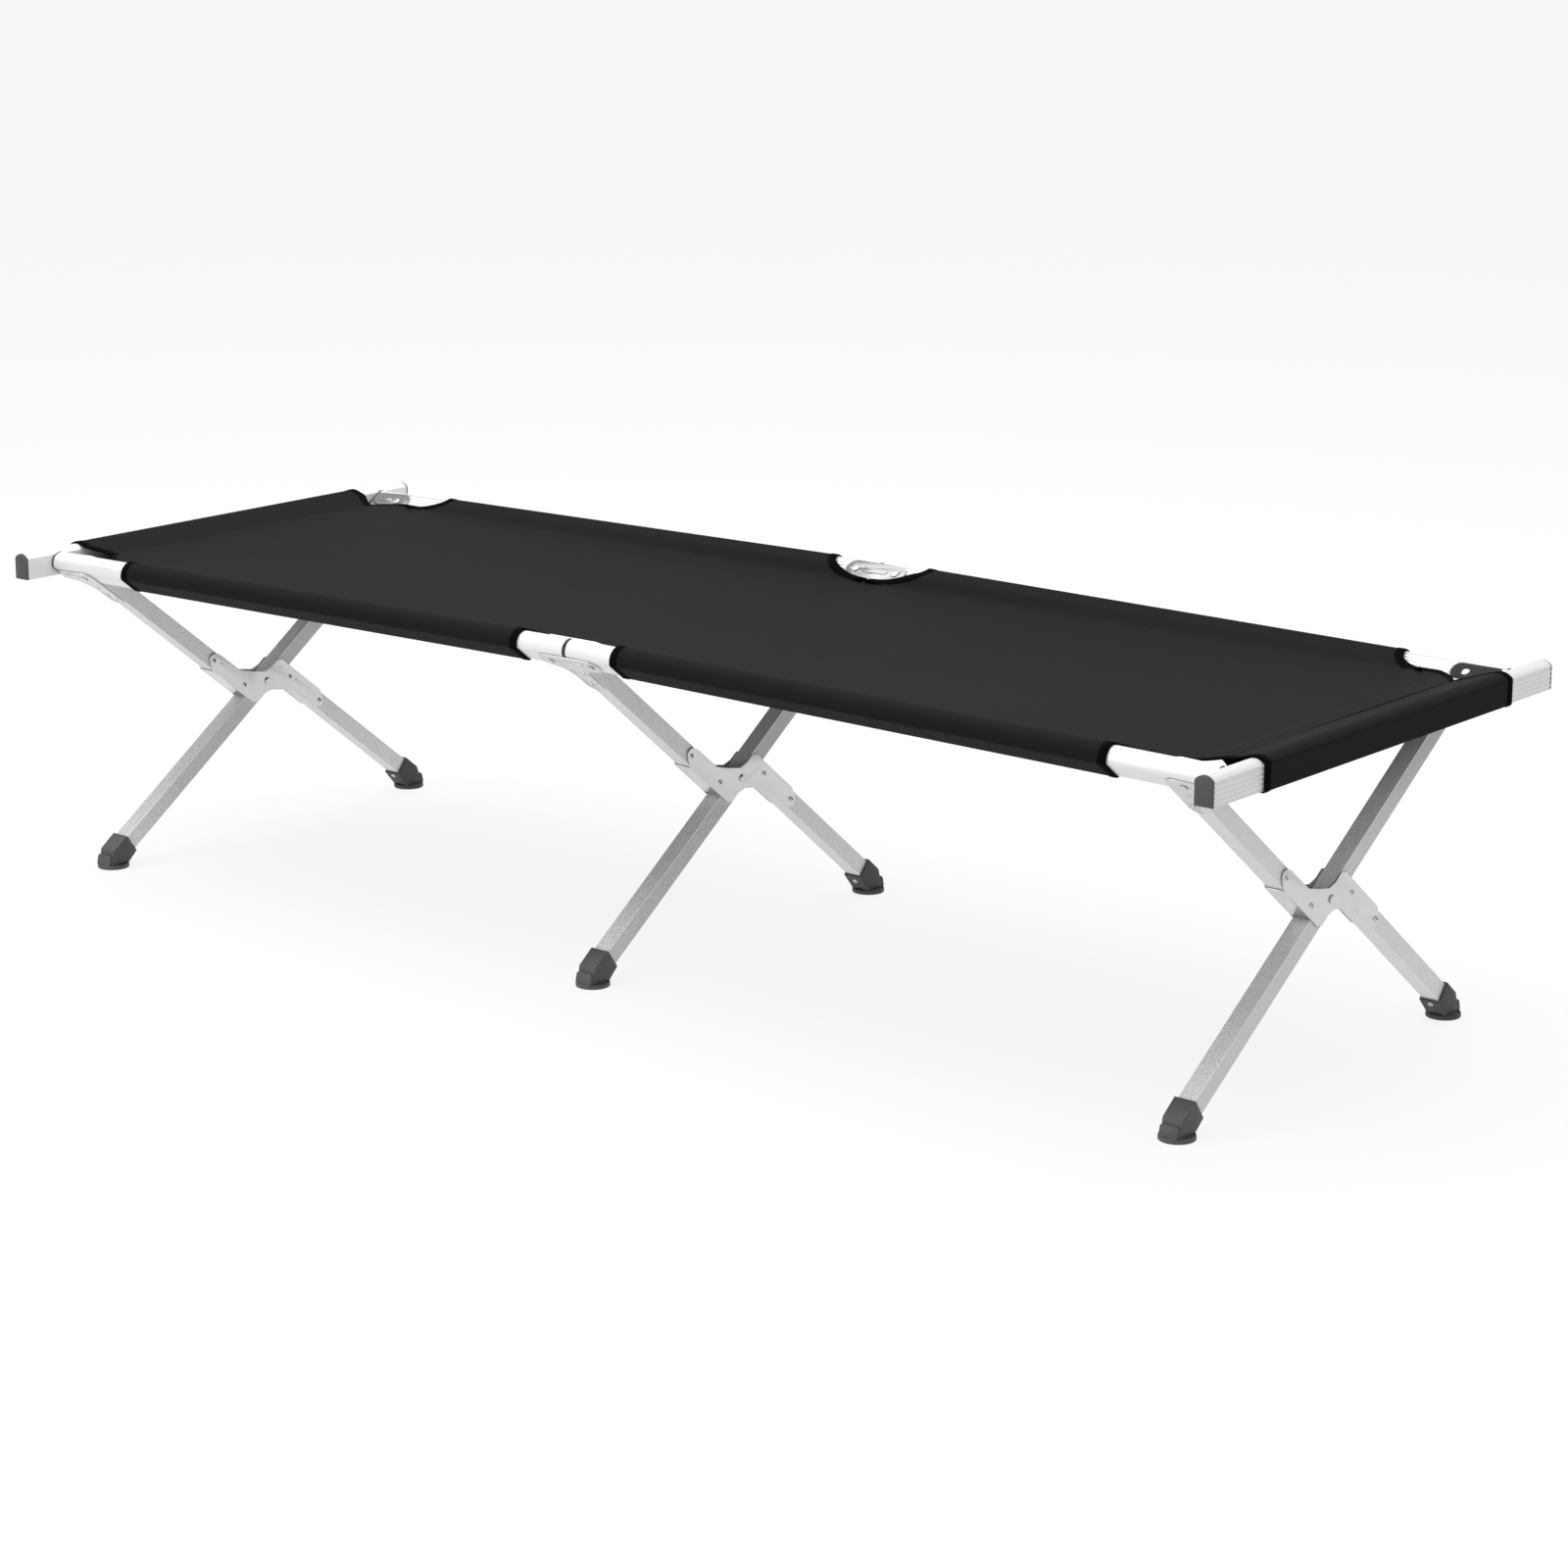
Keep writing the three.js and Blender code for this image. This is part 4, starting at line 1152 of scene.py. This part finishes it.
def bind_panel(grid):
    """Tape along the open edges of the panel: one strip in each corner and each middle bay."""
    normal = grid_normals(grid)
    if normal[..., 2].mean() < 0:
        normal = -normal
    x = grid[:, 0, 0]
    trims = []
    spans = {"left": x < -(SLEEVE_TO + 0.020), "middle": np.abs(x) < 0.28 * SLEEVE_FROM,
             "right": x > SLEEVE_TO + 0.020}
    for column, step, side in ((0, 1, "front"), (-1, -1, "rear")):
        for where, mask in spans.items():
            line = grid[mask, column]
            inward = unit(grid[mask, column + step] - line)
            trims.append(tape(f"panel_tape_{side}_{where}", line, inward, normal[mask, column], closed=False))
    return trims


def panel_height(grid, x, y):
    """Height of the panel's middle surface at places on it."""
    middle_row, middle_column = len(grid) // 2, grid.shape[1] // 2
    i = np.searchsorted(grid[:, middle_column, 0], x).clip(0, len(grid) - 1)
    spread_out = grid[middle_row, :, 1] / panel_edge(np.array([0.0]))[0]
    column = np.interp(y / panel_edge(x), spread_out, np.arange(grid.shape[1]))
    j = column.astype(int).clip(0, grid.shape[1] - 2)
    f = column - j
    return grid[i, j, 2] * (1 - f) + grid[i, j + 1, 2] * f


def sew_panel(grid):
    """Two rows of stitching in each hem of the panel."""
    rows = []
    for s in (-1, 1):
        for h in (-1, 1):
            for depth in (0.004, SIDE_HEM - 0.002):
                x = h * np.arange(SLEEVE_FROM + 0.01, SLEEVE_TO + 0.004, STITCH_PITCH)
                y = np.full_like(x, s * (SEAM_Y - depth))
                rows.append((x, y, (1.0, 0.0, 0.0)))
        for depth in (0.004, END_HEM - 0.002):
            y = np.arange(-0.255, 0.2551, STITCH_PITCH)
            x = np.full_like(y, s * (END_SEAM_X - depth))
            rows.append((x, y, (0.0, 1.0, 0.0)))
    points, tangents, normals = [], [], []
    for x, y, along in rows:
        z = panel_height(grid, x, y) + CLOTH / 2 + 0.0001
        points.append(np.stack([x, y, z], 1))
        tangents.append(np.tile(along, (len(x), 1)))
        normals.append(np.tile((0.0, 0.0, 1.0), (len(x), 1)))
    points, tangents, normals = (np.concatenate(parts) for parts in (points, tangents, normals))
    return stitches("panel_stitching", points, tangents, normals)


# ---------------------------------------------------------------- studio

def make_floor():
    """A white studio floor that gives off a little light, so that shadows on it stay faint."""
    deselect()
    bpy.ops.mesh.primitive_plane_add(size=160, location=(0, 0, -0.0004))
    floor = named("studio_floor")
    bpy.ops.object.transform_apply(location=True, rotation=True, scale=True)
    material, _, shader = new_material("lit_floor", (0.12, 0.12, 0.12), 0, 0.9)
    shader.inputs["Specular IOR Level"].default_value = 0
    shader.inputs["Emission Color"].default_value = (1, 1, 1, 1)
    shader.inputs["Emission Strength"].default_value = 0.85
    floor.data.materials.append(material)


def make_lights():
    world = bpy.data.worlds.new("studio")
    bpy.context.scene.world = world
    world.use_nodes = True
    world.node_tree.nodes["Background"].inputs["Color"].default_value = (1, 1, 1, 1)
    world.node_tree.nodes["Background"].inputs["Strength"].default_value = 0.68
    lamps = {  # place, aim, size and power
        "top": ((-0.6, 0.2, 4.0), (-0.6, 0.2001, 0.0), 5.0, 190),
        "key": ((-2.6, -1.6, 3.4), (0.1, 0.0, 0.2), 2.6, 30),
        "front": ((-0.9, -3.8, 1.3), (0.1, 0.0, 0.2), 2.4, 42),
        "rim": ((1.5, 4.2, 2.6), (0.0, 0.0, 0.4), 2.4, 10),
    }
    for name, (at, aim, size, power) in lamps.items():
        lamp = bpy.data.lights.new(name, "AREA")
        lamp.size = size
        lamp.energy = power
        holder = bpy.data.objects.new(name, lamp)
        holder.location = at
        holder.rotation_euler = (Vector(aim) - Vector(at)).to_track_quat("-Z", "Y").to_euler()
        bpy.context.scene.collection.objects.link(holder)


def make_camera():
    camera = bpy.data.cameras.new("camera")
    camera.sensor_width = 36
    camera.lens = 90.22
    camera.clip_end = 300
    holder = bpy.data.objects.new("camera", camera)
    holder.location = (3.433, -4.060, 1.586)
    holder.rotation_euler = (math.radians(75.61), 0, math.radians(39.47))
    bpy.context.scene.collection.objects.link(holder)
    bpy.context.scene.camera = holder


make_camera()
make_rails()
make_legs()
make_end_bars()
make_feet()
make_refined("_hinge_plug", 0.0004, PLUG_MATERIAL, 2)
make_refined("_end_plug", 0.0006, PLUG_MATERIAL, 2)
make_refined("end_cap_", 0.0009, CAP_MATERIAL)
make_refined("hub_bracket_", 0.0005, STEEL, 2)
make_refined("front_leg_bracket_", 0.0005, STEEL, 2)
# The rear leg-top brackets take the darker steel copy: painted shade.
make_refined("rear_leg_bracket_", 0.0005, STEEL_PAINTED_SHADE, 2)
make_refined("_pin_", 0.0003, STEEL, 2, recess=0.0018)
hub_details()
bracket_details()
# The black plate over the rear right leg-top bracket is painted shade.
make_painted_shade_plate()
make_sleeves()
make_cloth()
make_floor()
make_lights()
bpy.context.scene.view_settings.view_transform = "Standard"
deselect()

bpy.context.view_layer.update()
